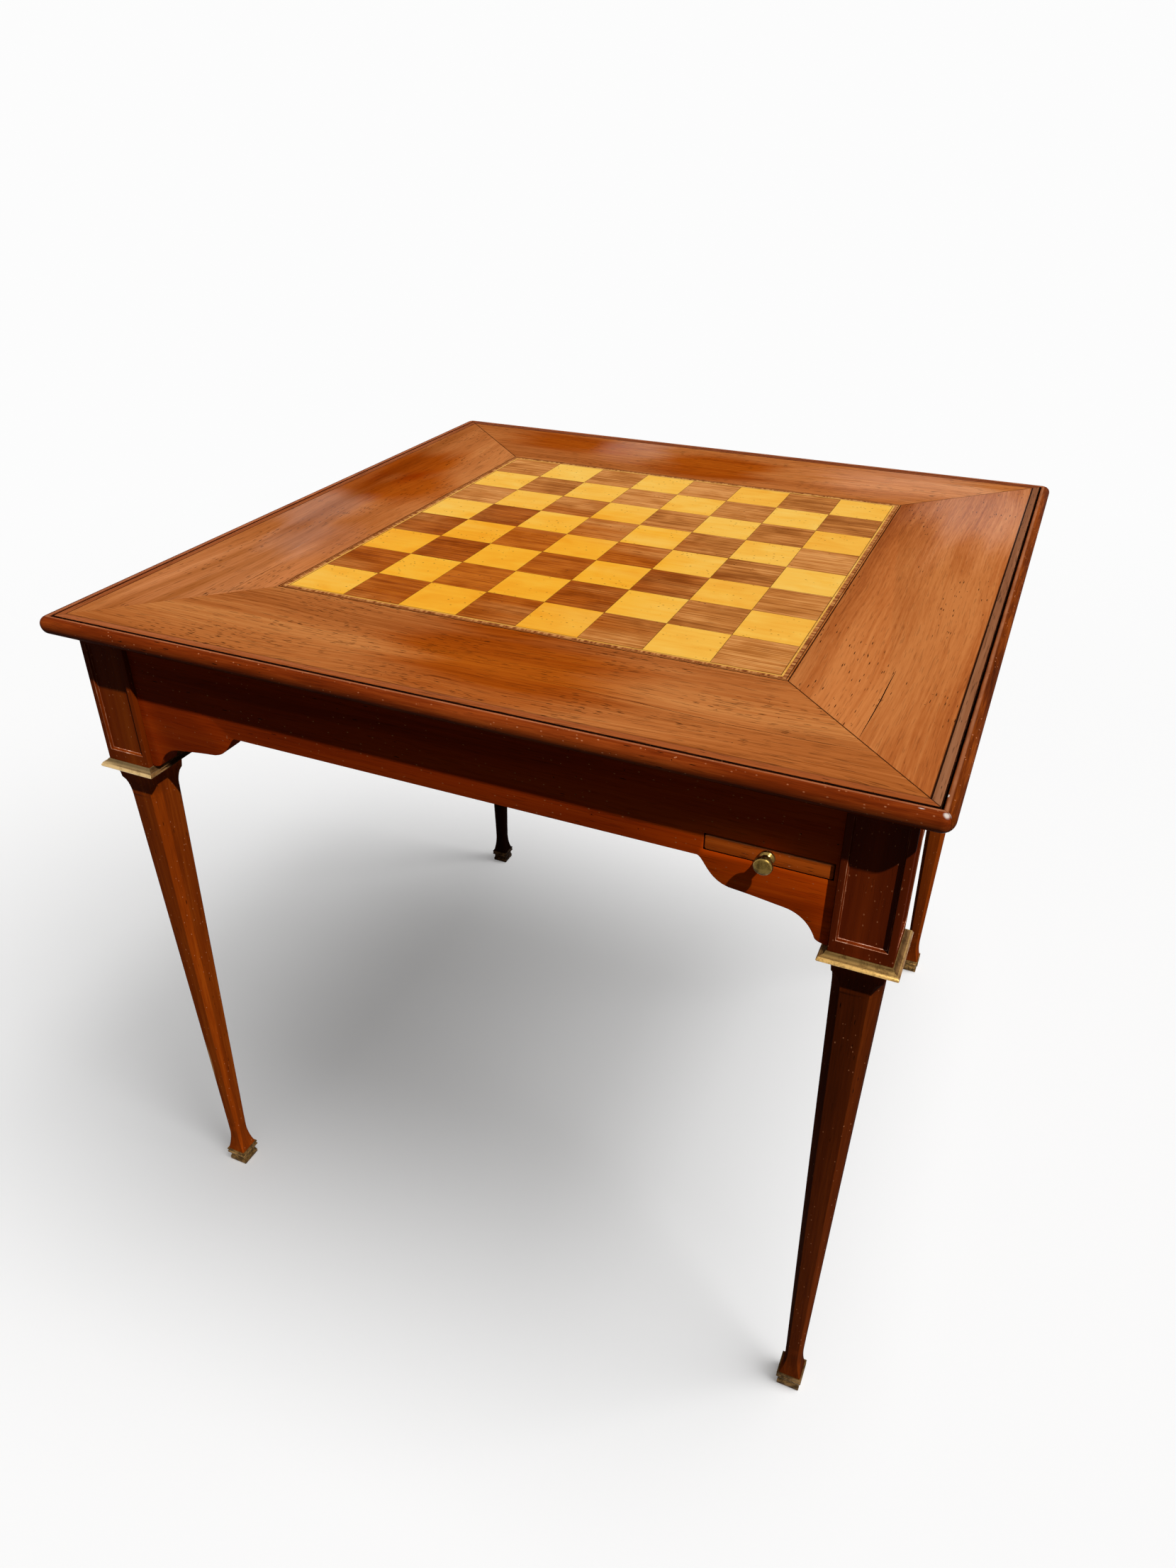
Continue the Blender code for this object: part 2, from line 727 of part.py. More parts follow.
def build_well(carrier, finishes):
    floor = bmesh.new()
    reach = apron_inner + floor_groove_depth
    corner = block_inner - joint_gap
    outline = (
        (-corner, -reach), (corner, -reach), (corner, -corner), (reach, -corner),
        (reach, corner), (corner, corner), (corner, reach), (-corner, reach),
        (-corner, corner), (-reach, corner), (-reach, -corner), (-corner, -corner))
    add_slab(floor, outline, well_floor_bottom, well_floor_top)
    cutter = bmesh.new()
    for x, y in screw_spots():
        hole_foot = (x, y, well_floor_bottom - cut_overrun)
        hole_length = cut_overrun + screw_bite + joint_gap
        add_rod(cutter, hole_foot, hole_length, screw_radius + joint_gap, screw_sides)
    piece("well_floor", make_mesh("well_floor", carved(floor, cutter)), finishes["inner_wood"], carrier)
    coats = (finishes["well_ground"], finishes["light_veneer"], finishes["dark_veneer"])
    for name, x_side in (("well_veneer_left", -1), ("well_veneer_right", 1)):
        piece(name, well_veneer_mesh(name, x_side), coats, carrier)
    section = (
        (rail_inner, rail_bottom), (rail_outer, rail_bottom),
        (rail_outer, rail_top), (rail_inner, rail_top))
    rail = make_mesh("well_rail", mitred_strip(section))
    rims = (rim_mesh("rim_with_holes", True), rim_mesh("rim_plain", False))
    for turns, side in enumerate(side_names):
        piece("well_rail_" + side, rail, finishes["frame_wood"], carrier, quarter_turns=turns)
        piece("well_rim_" + side, rims[turns % 2], finishes["frame_wood"], carrier, quarter_turns=turns)
    bar = bmesh.new()
    bar_end = rail_inner - joint_gap
    add_box(bar, (-bar_half, -bar_end, rail_bottom), (bar_half, bar_end, rail_top))
    piece("centre_bar", make_mesh("centre_bar", bar), finishes["frame_wood"], carrier)


def rim_mesh(name, with_holes):
    """The front rim of the well: mitred at its inner edge, notched round the legs."""
    notch = block_inner - joint_gap
    outline = (
        (joint_gap - rim_inner, -rim_inner), (rim_inner - joint_gap, -rim_inner),
        (notch - joint_gap, -notch), (notch - joint_gap, -rim_outer),
        (joint_gap - notch, -rim_outer), (joint_gap - notch, -notch))
    form = bmesh.new()
    add_slab(form, outline, rim_bottom, frame_top)
    if with_holes:
        cutter = bmesh.new()
        pitch = (rail_inner - bar_half) / points_per_half
        length = rim_thickness + 2 * cut_overrun
        for x_side in (-1, 1):
            for index in range(points_per_half):
                x = x_side * (bar_half + pitch * (index + 0.5))
                foot = (x, -peg_hole_row, rim_bottom - cut_overrun)
                add_rod(cutter, foot, length, peg_hole_radius, peg_hole_sides)
        form = carved(form, cutter)
    return make_mesh(name, form)


# The candle slides are modelled in a frame of their own: X across the slide from its middle, Y inward
# from the outer face of the apron, Z up from the slide's middle.
slide_front = -facing_projection
slide_half_thickness = slide_thickness / 2
facing_back = slide_front + facing_thickness
stop_place = apron_thickness + slide_travel + stop_radius + stop_clearance
board_back = stop_place + slide_tail_length
tray_front = apron_outer - block_inner + joint_gap
tray_inner_half = slide_half + tray_side_clearance
tray_outer_half = tray_inner_half + tray_wall
tray_inner_back = board_back + stop_clearance
tray_back = tray_inner_back + tray_end_wall
tray_inner_bottom = -slide_half_thickness - joint_gap
tray_bottom = tray_inner_bottom - tray_floor
tray_top = well_floor_bottom - joint_gap - slide_middle


def screw_places():
    """Where the tray's two screws stand, in the slide's own frame: one in each wall."""
    across = (tray_inner_half + tray_outer_half) / 2
    near, far = [tray_front + (tray_back - tray_front) * share for share in screw_end_shares]
    return ((-across, near), (across, far))


def screw_spots():
    """The same screws in the table's frame, for both slides."""
    front = [(slide_centre + x, y - apron_outer) for x, y in screw_places()]
    return front + [(-x, -y) for x, y in front]


def facing_mesh():
    """The front strip of a slide: rounded at its face, grooved behind for the board's tongue."""
    form = bmesh.new()
    low = (-slide_half, slide_front, -slide_half_thickness)
    high = (slide_half, facing_back, slide_half_thickness)
    add_box(form, low, high)
    front_limit = slide_front + weld_distance
    front_edges = [edge for edge in form.edges if all(vert.co.y < front_limit for vert in edge.verts)]
    bmesh.ops.bevel(
        form, geom=front_edges, offset=facing_edge_radius, segments=facing_edge_steps, profile=0.5,
        affect="EDGES", material=-1)
    cutter = bmesh.new()
    half_groove = facing_tongue_thickness / 2 + joint_gap
    groove_front = facing_back - facing_tongue_length
    add_box(
        cutter, (-slide_half - cut_overrun, groove_front, -half_groove),
        (slide_half + cut_overrun, facing_back + cut_overrun, half_groove))
    form = carved(form, cutter)
    hole = bmesh.new()
    hole_foot = (0, slide_front - cut_overrun, 0)
    hole_length = facing_thickness + 2 * cut_overrun
    add_rod(hole, hole_foot, hole_length, knob_shank_radius + joint_gap, screw_sides, "Y")
    return make_mesh("slide_facing", carved(form, hole), math.radians(30))


def board_mesh():
    """The board behind the facing, tongued into it and bored for the knob's shank and the stop."""
    half = slide_half_thickness
    tongue = facing_tongue_thickness / 2
    front = facing_back + joint_gap
    tongue_front = front - facing_tongue_length
    section = (
        (tongue_front, -tongue), (front, -tongue), (front, -half), (board_back, -half),
        (board_back, half), (front, half), (front, tongue), (tongue_front, tongue))
    form = bmesh.new()
    add_loft(form, [[(side * slide_half, y, z) for y, z in section] for side in (-1, 1)])
    cutter = bmesh.new()
    bore = knob_shank_radius + joint_gap
    bore_length = slide_front + knob_shank_length + joint_gap - tongue_front + cut_overrun
    add_rod(cutter, (0, tongue_front - cut_overrun, 0), bore_length, bore, screw_sides, "Y")
    stop_bore = stop_radius + joint_gap
    stop_foot = (0, stop_place, -half - cut_overrun)
    stop_length = slide_thickness + 2 * cut_overrun
    add_rod(cutter, stop_foot, stop_length, stop_bore, stop_sides)
    return make_mesh("slide_board", carved(form, cutter))


def stop_mesh():
    """A peg through the board that meets the inside of the apron when the slide is drawn."""
    form = bmesh.new()
    foot = (0, stop_place, -slide_half_thickness)
    add_rod(form, foot, slide_thickness + stop_rise, stop_radius, stop_sides)
    return make_mesh("slide_stop", form)


def knob_mesh():
    """A turned knob with a flange, a neck and a round head, and a shank behind it."""
    flange = knob_flange_thickness
    head_back = flange + knob_neck_length
    head_middle = (head_back + knob_projection) / 2
    head_depth = (knob_projection - head_back) / 2
    profile = [
        (0, -knob_shank_length), (knob_shank_radius, -knob_shank_length), (knob_shank_radius, joint_gap),
        (knob_flange_radius, joint_gap), (knob_flange_radius, flange), (knob_neck_radius, flange * 2),
        (knob_neck_radius, head_back)]
    for step in range(1, knob_head_steps):
        angle = math.pi * step / knob_head_steps
        reach = knob_neck_radius + (knob_head_radius - knob_neck_radius) * math.sin(angle) ** 0.5
        profile.append((reach, head_middle - head_depth * math.cos(angle)))
    profile += [(knob_neck_radius, knob_projection), (0, knob_projection)]
    form = turned(profile, knob_sides)
    bmesh.ops.rotate(form, verts=form.verts, cent=(0, 0, 0), matrix=Matrix.Rotation(math.pi / 2, 3, "X"))
    bmesh.ops.translate(form, verts=form.verts, vec=(0, slide_front, 0))
    return make_mesh("slide_knob", form, math.radians(40))


def tray_mesh():
    """An open tray that carries the slide, screwed up under the floor of the well."""
    form = bmesh.new()
    add_box(form, (-tray_outer_half, tray_front, tray_bottom), (tray_outer_half, tray_back, tray_top))
    cutter = bmesh.new()
    add_box(
        cutter, (-tray_inner_half, tray_front - cut_overrun, tray_inner_bottom),
        (tray_inner_half, tray_inner_back, tray_top + cut_overrun))
    form = carved(form, cutter)
    through = tray_top - tray_bottom + 2 * cut_overrun
    sunk = cut_overrun + screw_head_height + joint_gap
    for radius, length in ((screw_radius, through), (screw_head_radius, sunk)):
        holes = bmesh.new()
        for x, y in screw_places():
            add_rod(holes, (x, y, tray_bottom - cut_overrun), length, radius + joint_gap, screw_sides)
        form = carved(form, holes)
    return make_mesh("runner_tray", form)


def screw_mesh():
    """A countersunk screw that holds a tray up, in the slide's own frame."""
    head_low = tray_bottom
    tip = well_floor_bottom + screw_bite - slide_middle
    neck = head_low + screw_head_height
    profile = (
        (0, head_low), (screw_head_radius, head_low), (screw_head_radius, neck - joint_gap),
        (screw_radius, neck), (screw_radius, tip - screw_radius), (0, tip))
    return make_mesh("tray_screw", turned(profile, screw_sides), math.radians(40))


def build_slides(table, finishes):
    facing = facing_mesh()
    board = board_mesh()
    stop = stop_mesh()
    knob = knob_mesh()
    tray = tray_mesh()
    screw = screw_mesh()
    for side, turns, sign in (("front", 0, 1), ("back", 2, -1)):
        spot = (sign * slide_centre, -sign * apron_outer, slide_middle)
        carrier = empty(side + "_slide", spot, turns, table)
        piece(side + "_slide_facing", facing, finishes["frame_wood"], carrier)
        piece(side + "_slide_board", board, finishes["frame_wood"], carrier)
        piece(side + "_slide_stop", stop, finishes["inner_wood"], carrier)
        piece(side + "_slide_knob", knob, finishes["brass"], carrier)
        piece(side + "_runner_tray", tray, finishes["inner_wood"], table, spot, turns)
        for (x, y), hand in zip(screw_places(), ("left", "right")):
            place = (spot[0] + sign * x, spot[1] + sign * y, slide_middle)
            piece(f"{side}_tray_screw_{hand}", screw, finishes["steel"], table, place, turns)


def main():
    clear_scene()
    finishes = {
        "top_wood": finish("top_wood", (0.47, 0.15, 0.045), 0.35),
        "frame_wood": finish("frame_wood", (0.22, 0.045, 0.015), 0.35),
        "light_veneer": finish("light_veneer", (0.86, 0.50, 0.10), 0.35),
        "dark_veneer": finish("dark_veneer", (0.27, 0.09, 0.025), 0.35),
        "dark_line": finish("dark_line", (0.02, 0.008, 0.005), 0.4),
        "well_ground": finish("well_ground", (0.035, 0.012, 0.006), 0.4),
        "inner_wood": finish("inner_wood", (0.42, 0.24, 0.11), 0.7),
        "baize": finish("baize", (0.01, 0.10, 0.03), 0.95),
        "brass": finish("brass", (0.50, 0.36, 0.13), 0.35, 1.0),
        "steel": finish("steel", (0.30, 0.30, 0.30), 0.4, 1.0)}
    table = empty("table_frame")
    lift_off_top = empty("lift_off_top", parent=table)
    build_top(lift_off_top, finishes)
    build_legs(table, finishes)
    build_aprons(table, finishes)
    build_well(table, finishes)
    build_slides(table, finishes)


main()
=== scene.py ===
# %% [markdown]
# # Dressing a tric trac table
#
# The table is a games table: a chequered top lifts off a backgammon well, and a candle slide pulls out
# for each of the two players. Its CAD model holds the sizes and the joints. This lesson loads that
# model, builds finer pieces around it with bmesh operators, and gives every surface a finish made of
# shader nodes. Everything is in metres, with the front of the table towards -Y.

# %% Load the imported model
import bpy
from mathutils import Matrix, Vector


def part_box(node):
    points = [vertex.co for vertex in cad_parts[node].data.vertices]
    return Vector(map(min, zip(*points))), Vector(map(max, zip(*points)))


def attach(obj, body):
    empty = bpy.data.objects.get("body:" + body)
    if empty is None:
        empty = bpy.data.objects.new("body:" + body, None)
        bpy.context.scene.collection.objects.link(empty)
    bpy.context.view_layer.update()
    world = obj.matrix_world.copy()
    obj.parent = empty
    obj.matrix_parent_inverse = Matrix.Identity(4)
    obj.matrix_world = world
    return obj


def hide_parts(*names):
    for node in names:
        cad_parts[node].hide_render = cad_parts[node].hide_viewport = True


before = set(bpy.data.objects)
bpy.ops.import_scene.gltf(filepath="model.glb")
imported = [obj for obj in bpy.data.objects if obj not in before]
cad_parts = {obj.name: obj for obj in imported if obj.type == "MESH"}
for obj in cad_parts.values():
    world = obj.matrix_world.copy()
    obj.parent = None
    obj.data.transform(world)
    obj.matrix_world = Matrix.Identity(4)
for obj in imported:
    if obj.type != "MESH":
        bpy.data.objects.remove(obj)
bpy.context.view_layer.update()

# %% The rest of the toolbox
import math

import bmesh
import bpy
from mathutils import Matrix, Vector
from mathutils.geometry import interpolate_bezier
print("Blender", bpy.app.version_string)

# %% [markdown]
# ## Sizes
#
# The places of the pieces come from the CAD nodes themselves, so that a finer piece always lands where
# its solid is. Only the small dimensions that a box can't tell, such as how far a panel is sunk, are
# written here.

# %% Places read from the CAD nodes
top_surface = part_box("chequer_veneer")[1].z
board_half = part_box("chequer_veneer")[1].x
top_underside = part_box("edge_moulding_front")[0].z
top_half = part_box("edge_moulding_right")[1].x
frame_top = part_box("apron_front")[1].z
apron_front_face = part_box("apron_front")[0].y
block_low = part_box("collar_front_left")[1].z
leg_low, leg_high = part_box("leg_front_left")
leg_axis = (leg_low + leg_high) / 2
print("surface", round(top_surface, 4), "frame", round(frame_top, 4), "leg axis", round(leg_axis.x, 4))

# %% Sides, quarter turns and the smallest distances
side_names = ("front", "right", "back", "left")
corner_names = ("front_left", "front_right", "back_right", "back_left")
hair = 0.0003
weld = 0.000002
overrun = 0.002
full_turn = 2 * math.pi
eighth_turn = math.pi / 4
grain_of_side = ("x", "y", "x", "y")
print("sides:", side_names, "corners:", corner_names)

# %% [markdown]
# ## Shader nodes as Python expressions
#
# A node tree is a sum of small steps, and it reads best as a formula. One class wraps a node's output,
# so that plus, minus and times add Math nodes. A second one owns the tree and makes any other node from
# its type, its settings and what goes into its sockets, with short names for the nodes that are used
# most. Blender has no such thing built in, but a page of Python is enough.

# %% A socket that can be added, subtracted and multiplied
class Wire:
    """What comes out of a shader node."""

    def __init__(self, tree, socket):
        self.tree = tree
        self.socket = socket

    def maths(self, operation, *values):
        return self.tree.node("ShaderNodeMath", {"operation": operation}, dict(enumerate(values)))

    def __add__(self, other):
        return self.maths("ADD", self, other)

    def __sub__(self, other):
        return self.maths("SUBTRACT", self, other)

    def __rsub__(self, other):
        return self.maths("SUBTRACT", other, self)

    def __mul__(self, other):
        return self.maths("MULTIPLY", self, other)

    def __gt__(self, other):
        return self.maths("GREATER_THAN", self, other)

    def __abs__(self):
        return self.maths("ABSOLUTE", self)

    __radd__ = __add__
    __rmul__ = __mul__


# %% A node tree that is filled node by node
class Finish:
    """The node tree of a material or of the world."""

    def __init__(self, owner):
        owner.use_nodes = True
        self.nodes = owner.node_tree.nodes
        self.links = owner.node_tree.links
        self.nodes.clear()

    def node(self, kind, settings=None, sockets=None, output=0):
        made = self.nodes.new(kind)
        for name, value in (settings or {}).items():
            if name == "stops":
                set_stops(made.color_ramp, value)
            else:
                setattr(made, name, value)
        for key, value in (sockets or {}).items():
            if isinstance(value, Wire):
                self.links.new(value.socket, made.inputs[key])
            else:
                made.inputs[key].default_value = value
        return Wire(self, made.outputs[output]) if made.outputs else None

    def place(self):
        """Where the shaded point is, in its object's own coordinates."""
        return self.node("ShaderNodeTexCoord", output="Object")

    def axis(self, vector, letter):
        return self.node("ShaderNodeSeparateXYZ", None, {0: vector}, letter)

    def noise(self, vector, detail=2.0, roughness=0.5, distortion=0.0):
        return self.node("ShaderNodeTexNoise", None, {
            "Vector": vector, "Scale": 1.0, "Detail": detail, "Roughness": roughness,
            "Distortion": distortion})

    def cells(self, vector):
        """Distance to the nearest of many scattered points, and that point's own random number."""
        voronoi = self.node("ShaderNodeTexVoronoi", {"feature": "F1"}, {"Vector": vector, "Scale": 1.0})
        colour = Wire(self, voronoi.socket.node.outputs["Color"])
        return voronoi, self.node("ShaderNodeSeparateColor", None, {0: colour})

    def step(self, value, low, high):
        """0 below low, 1 above high, and a smooth ramp between them. Low may be the greater."""
        return self.node(
            "ShaderNodeMapRange", {"interpolation_type": "SMOOTHSTEP"},
            {"Value": value, "From Min": low, "From Max": high})

    def ramp(self, value, stops):
        return self.node("ShaderNodeValToRGB", {"stops": stops}, {0: value})

    def blend(self, factor, low, high, way="MIX"):
        return self.node(
            "ShaderNodeMix", {"data_type": "RGBA", "blend_type": way}, {0: factor, 6: low, 7: high}, 2)

    def vector(self, operation, *values):
        return self.node("ShaderNodeVectorMath", {"operation": operation}, dict(enumerate(values)))

    def length(self, vector):
        return self.node("ShaderNodeVectorMath", {"operation": "LENGTH"}, {0: vector}, "Value")

    def bump(self, height, strength, distance):
        return self.node(
            "ShaderNodeBump", None, {"Strength": strength, "Distance": distance, "Height": height})

    def principled(self, sockets):
        """A Principled shader with these values in its sockets, joined to the material's output."""
        shader = self.node("ShaderNodeBsdfPrincipled", None, sockets)
        self.node("ShaderNodeOutputMaterial", None, {"Surface": shader})


def set_stops(ramp, stops):
    ramp.elements[0].position, ramp.elements[0].color = stops[0]
    ramp.elements[1].position, ramp.elements[1].color = stops[-1]
    for place, colour in stops[1:-1]:
        ramp.elements.new(place).color = colour


print("node helpers ready")

# %% Colours as they are read off a screen
def shade(red, green, blue):
    """A colour in 0 to 255 screen values, turned into the linear values that a shader takes."""
    def linear(value):
        value /= 255
        return value / 12.92 if value <= 0.04045 else ((value + 0.055) / 1.055) ** 2.4
    return (linear(red), linear(green), linear(blue), 1.0)


print("a warm brown:", [round(value, 3) for value in shade(150, 90, 45)])

# %% [markdown]
# ## Wood
#
# Polished fruitwood shows four things at once: broad bands of heartwood, fine streaks along the grain,
# pores, and the small pits and dashes that age has left. Each is a noise or a cell pattern stretched
# along the grain. A picture of wood would be quicker, but it repeats and turns soft close up. Object
# coordinates are used, turned so that X runs along the grain, because the pieces sit at the origin and
# their grain then stays with them.

# %% Coordinates that run along the grain
def along_grain(finish, grain, shift):
    turn = {"x": (0, 0, 0), "y": (0, 0, -math.pi / 2), "z": (0, math.pi / 2, 0)}[grain]
    place = finish.place()
    return finish.node("ShaderNodeMapping", None, {"Vector": place, "Rotation": turn, "Location": shift})


def stretched(finish, place, lengthwise, across):
    return finish.vector("MULTIPLY", place, (lengthwise, across, across))


# %% Pits and dashes left by worm and wear
def pitted(finish, place, lengthwise, across, radius, share, cluster):
    """Masks of small hollows and of the bright speck beside each, where the light catches its edge.
    Lengthwise and across count the cells in a metre, radius is the hollow's in its cell, share is how
    many cells have one, and cluster how they gather."""
    spread = stretched(finish, place, lengthwise, across)
    beside = finish.vector("ADD", spread, (radius * 0.8, radius * 0.8, radius * 0.8))
    masks = []
    for spot, size in ((spread, radius), (beside, radius * 0.75)):
        distance, pick = finish.cells(spot)
        masks.append(finish.step(distance, size, size * 0.5) * (pick > 1 - share) * cluster)
    return masks


# %% Deeper heartwood, faded wood with painted sheen, painted light on the apron, and places that hands have polished
heart_tone = (0.76, 0.46, 0.10, 1)
# Faded wood, painted paler and bluer as painted sheen as well.
faded_and_sheen_tone = (1.24, 1.42, 1.9, 1)
# A brighter tone for the lit lower part of the apron near its right bracket, as painted light.
painted_light_tone = (1.75, 1.9, 0.9, 1)


def patch(finish, place, x, y, reach_x, reach_y, z=top_surface, reach_z=1.0):
    """1 round a point and 0 past its reach, with an edge that wanders along the grain."""
    plan = finish.place()
    wander = finish.noise(stretched(finish, place, 5, 30), 2.0) - 0.5
    away = finish.vector("SUBTRACT", plan, (x, y, z))
    away = finish.vector("MULTIPLY", away, (1 / reach_x, 1 / reach_y, 1 / reach_z))
    distance = finish.length(away)
    return finish.step(distance + wander * 1.2, 1.1, 0.4)


# %% Bands, streaks and ripples of the grain
ripple_stretch = (60, 620)


def swaying(finish, place, bend):
    """The same coordinates, pushed sideways here and there, so that the grain wanders."""
    sway = finish.noise(stretched(finish, place, 2.6, 8), 1.0) - 0.5
    aside = finish.node("ShaderNodeCombineXYZ", None, {"Y": sway * bend})
    return finish.vector("ADD", place, aside)


def grain_depth(finish, place, bands, streaks, streak_share, figure):
    """How deep the tone is, and the fine streaks and silk that also roughen the surface."""
    broad = finish.noise(stretched(finish, place, *bands), 3.0, 0.55, 0.7)
    fine = finish.noise(stretched(finish, place, *streaks), 3.0, 0.6, 0.1)
    silk = finish.noise(stretched(finish, place, streaks[0] * 3, streaks[1] * 3), 1.0, 0.5)
    ripple = finish.noise(stretched(finish, place, *ripple_stretch), 1.0, 0.5, 0.3)
    depth = broad * (1 - streak_share) + fine * (streak_share * 0.7) + silk * (streak_share * 0.3)
    return depth + (ripple - 0.5) * figure, fine, silk


# %% What age has left in the wood
pit_shape = (150, 165, 0.11)
dash_shape = (78, 660, 0.32)
chip_shape = (150, 250, 0.17)
pore_stretch = (60, 1100)
# The pale tone of chips, and of the painted highlights beside the pits and along rubbed arrises.
chip_and_highlight_tone = shade(206, 132, 88)
# The tone of bare wood in scuffs, and of the painted glint on the roll's near corner.
scuff_and_glint_tone = shade(236, 222, 210)
polish = 0.24
print("pits are about", round(2000 * pit_shape[2] / pit_shape[0], 1), "mm long")


def wear(finish, place, pits, dashes, chips):
    """Masks of the dark holes and of the pale marks, which gather here and there: chips, and the painted
    highlight beside each pit.
    """
    gathering = finish.step(finish.noise(stretched(finish, place, 9, 22), 1.0), 0.5, 0.58)
    dots, specks = pitted(finish, place, *pit_shape, pits, gathering * 0.7 + 0.3)
    marks = pitted(finish, place, *dash_shape, dashes, gathering)[0]
    holes = finish.step(dots + marks, 0.0, 1.0)
    if not chips:
        return holes, None
    strokes = pitted(finish, place, *chip_shape, chips, gathering * 0.4 + 0.6)[0]
    return holes, finish.step(specks + strokes, 0.0, 1.0)


# %% One function for all the woods
def wood(name, tones, grain="x", shift=(0, 0, 0), bands=(1.1, 15), streaks=(7, 330), figure=0.0,
         streak_share=0.4, bend=0.0, pores_share=0.45, pits=0.3, dashes=0.3, chips=0.0, roughness=0.34,
         gloss=0.0, wax=0.0, tints=(), polished=(), scuffs_and_glints=(), bare=scuff_and_glint_tone, wear_and_highlight=None, grime=None):
    """Tones are the dark, middle and light colours of the wood, and the tone of its pores. Tints are
    patches of another tone, polished ones of more shine, and scuffs of bare wood, whose tone is
    bare; on the roll one scuff is a painted glint. Each is a place and its reaches.
    Wear_and_highlight and grime are functions that give a mask of worn places with painted highlight
    and of dirty places."""
    material = bpy.data.materials.new(name)
    finish = Finish(material)
    place = along_grain(finish, grain, shift)
    if bend:
        place = swaying(finish, place, bend)
    depth, fine, silk = grain_depth(finish, place, bands, streaks, streak_share, figure)
    dark, middle, light, pore = tones
    colour = finish.ramp(depth, [(0.36, dark), (0.5, middle), (0.64, light)])
    for *spot, tint in tints:
        colour = finish.blend(patch(finish, place, *spot), colour, tint, "MULTIPLY")
    pores = finish.step(finish.noise(stretched(finish, place, *pore_stretch), 0.0), 0.66, 0.74)
    colour = finish.blend(pores * pores_share, colour, pore)
    holes, chips_and_highlights = wear(finish, place, pits, dashes, chips)
    # Pale chips, and the painted highlights beside the pits.
    if chips:
        colour = finish.blend(chips_and_highlights * 0.8, colour, chip_and_highlight_tone)
    colour = finish.blend(holes * 0.95, colour, pore)
    if wear_and_highlight:
        colour = finish.blend(wear_and_highlight(finish), colour, chip_and_highlight_tone)
    if grime:
        colour = finish.blend(grime(finish) * 0.95, colour, pore)
    for spot in scuffs_and_glints:
        colour = finish.blend(patch(finish, place, *spot) * 0.9, colour, bare)
    height = fine * 0.12 + silk * 0.06 - pores * 0.25 - holes * 1.0
    normal = finish.bump(height, 0.35, 0.0006)
    shine = fine * 0.12 + (roughness - 0.06) + holes * 0.25
    buffed = finish.step(finish.noise(stretched(finish, place, 2.2, 5), 1.0), 0.3, 0.7)
    coat = (buffed * 0.6 + 0.7) * wax
    for spot in polished:
        coat = coat + patch(finish, place, *spot) * polish
    finish.principled({
        "Base Color": colour, "Roughness": shine, "Normal": normal, "Specular IOR Level": gloss,
        "Coat Weight": coat, "Coat Roughness": 0.2})
    return material


# %% [markdown]
# ## Dirt where two pieces meet
#
# Wax and dust settle in every joint, and they are much of what makes an old top look old: a fine dark
# line beside the string, in the mitres and under the moulding. It could be modelled as a groove, but it
# is finer than any groove needs to be. A mask is worked out instead, from the distance to the middle of
# the table, and one formula then serves all four sides.

# %% Distances from the middle of the top
def plan_distances(finish):
    """How far a point is from the middle across the table, front to back, and by the greater of both."""
    place = finish.place()
    across = abs(finish.axis(place, "X"))
    deep = abs(finish.axis(place, "Y"))
    return across, deep, across.maths("MAXIMUM", across, deep)


def tight_mitre(finish):
    """1 round the front left corner, whose mitre has stayed tight and shows hardly any dirt."""
    place = finish.place()
    across = finish.axis(place, "X")
    deep = finish.axis(place, "Y")
    return finish.step(across + deep, -0.3, -0.45)


# %% Grime along the seams of the top
def dirt_line(finish, reach, seam, far, near):
    """1 at a seam, fading out between near and far from it. Below zero is towards the middle."""
    return finish.step(reach, seam + far, seam + near)


def seam_grime(share):
    """Dirt that gathers beside the string, the mitres and the moulding, where its share varies."""
    def grime(finish):
        across, deep, reach = plan_distances(finish)
        mitre = finish.step(abs(across - deep), *board_mitre) * (1 - tight_mitre(finish) * 0.75)
        outer = dirt_line(finish, reach, seam_outer, -0.0015, -0.0007) * share
        inner = dirt_line(finish, reach, seam_inner, 0.0009, 0.0003)
        return mitre.maths("MAXIMUM", mitre * 0.8, outer.maths("MAXIMUM", outer, inner))
    return grime


def band_grime(share):
    """Dirt along the inner edge of the flat band, and in its mitres."""
    def grime(finish):
        across, deep, reach = plan_distances(finish)
        mitre = finish.step(abs(across - deep), *band_mitre) * 0.7
        inner = dirt_line(finish, reach, seam_outer, 0.0009, 0.0004) * share
        return mitre.maths("MAXIMUM", mitre, inner)
    return grime


seam_outer = -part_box("edge_moulding_front")[1].y
seam_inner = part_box("dark_string")[1].x
quirk_line = 0.3906
crest_line = 0.3950
board_mitre = (0.0011, 0.0005)
band_mitre = (0.0008, 0.0003)
print("seams at", round(seam_inner, 4), "and", round(seam_outer, 4), "quirk at", quirk_line)
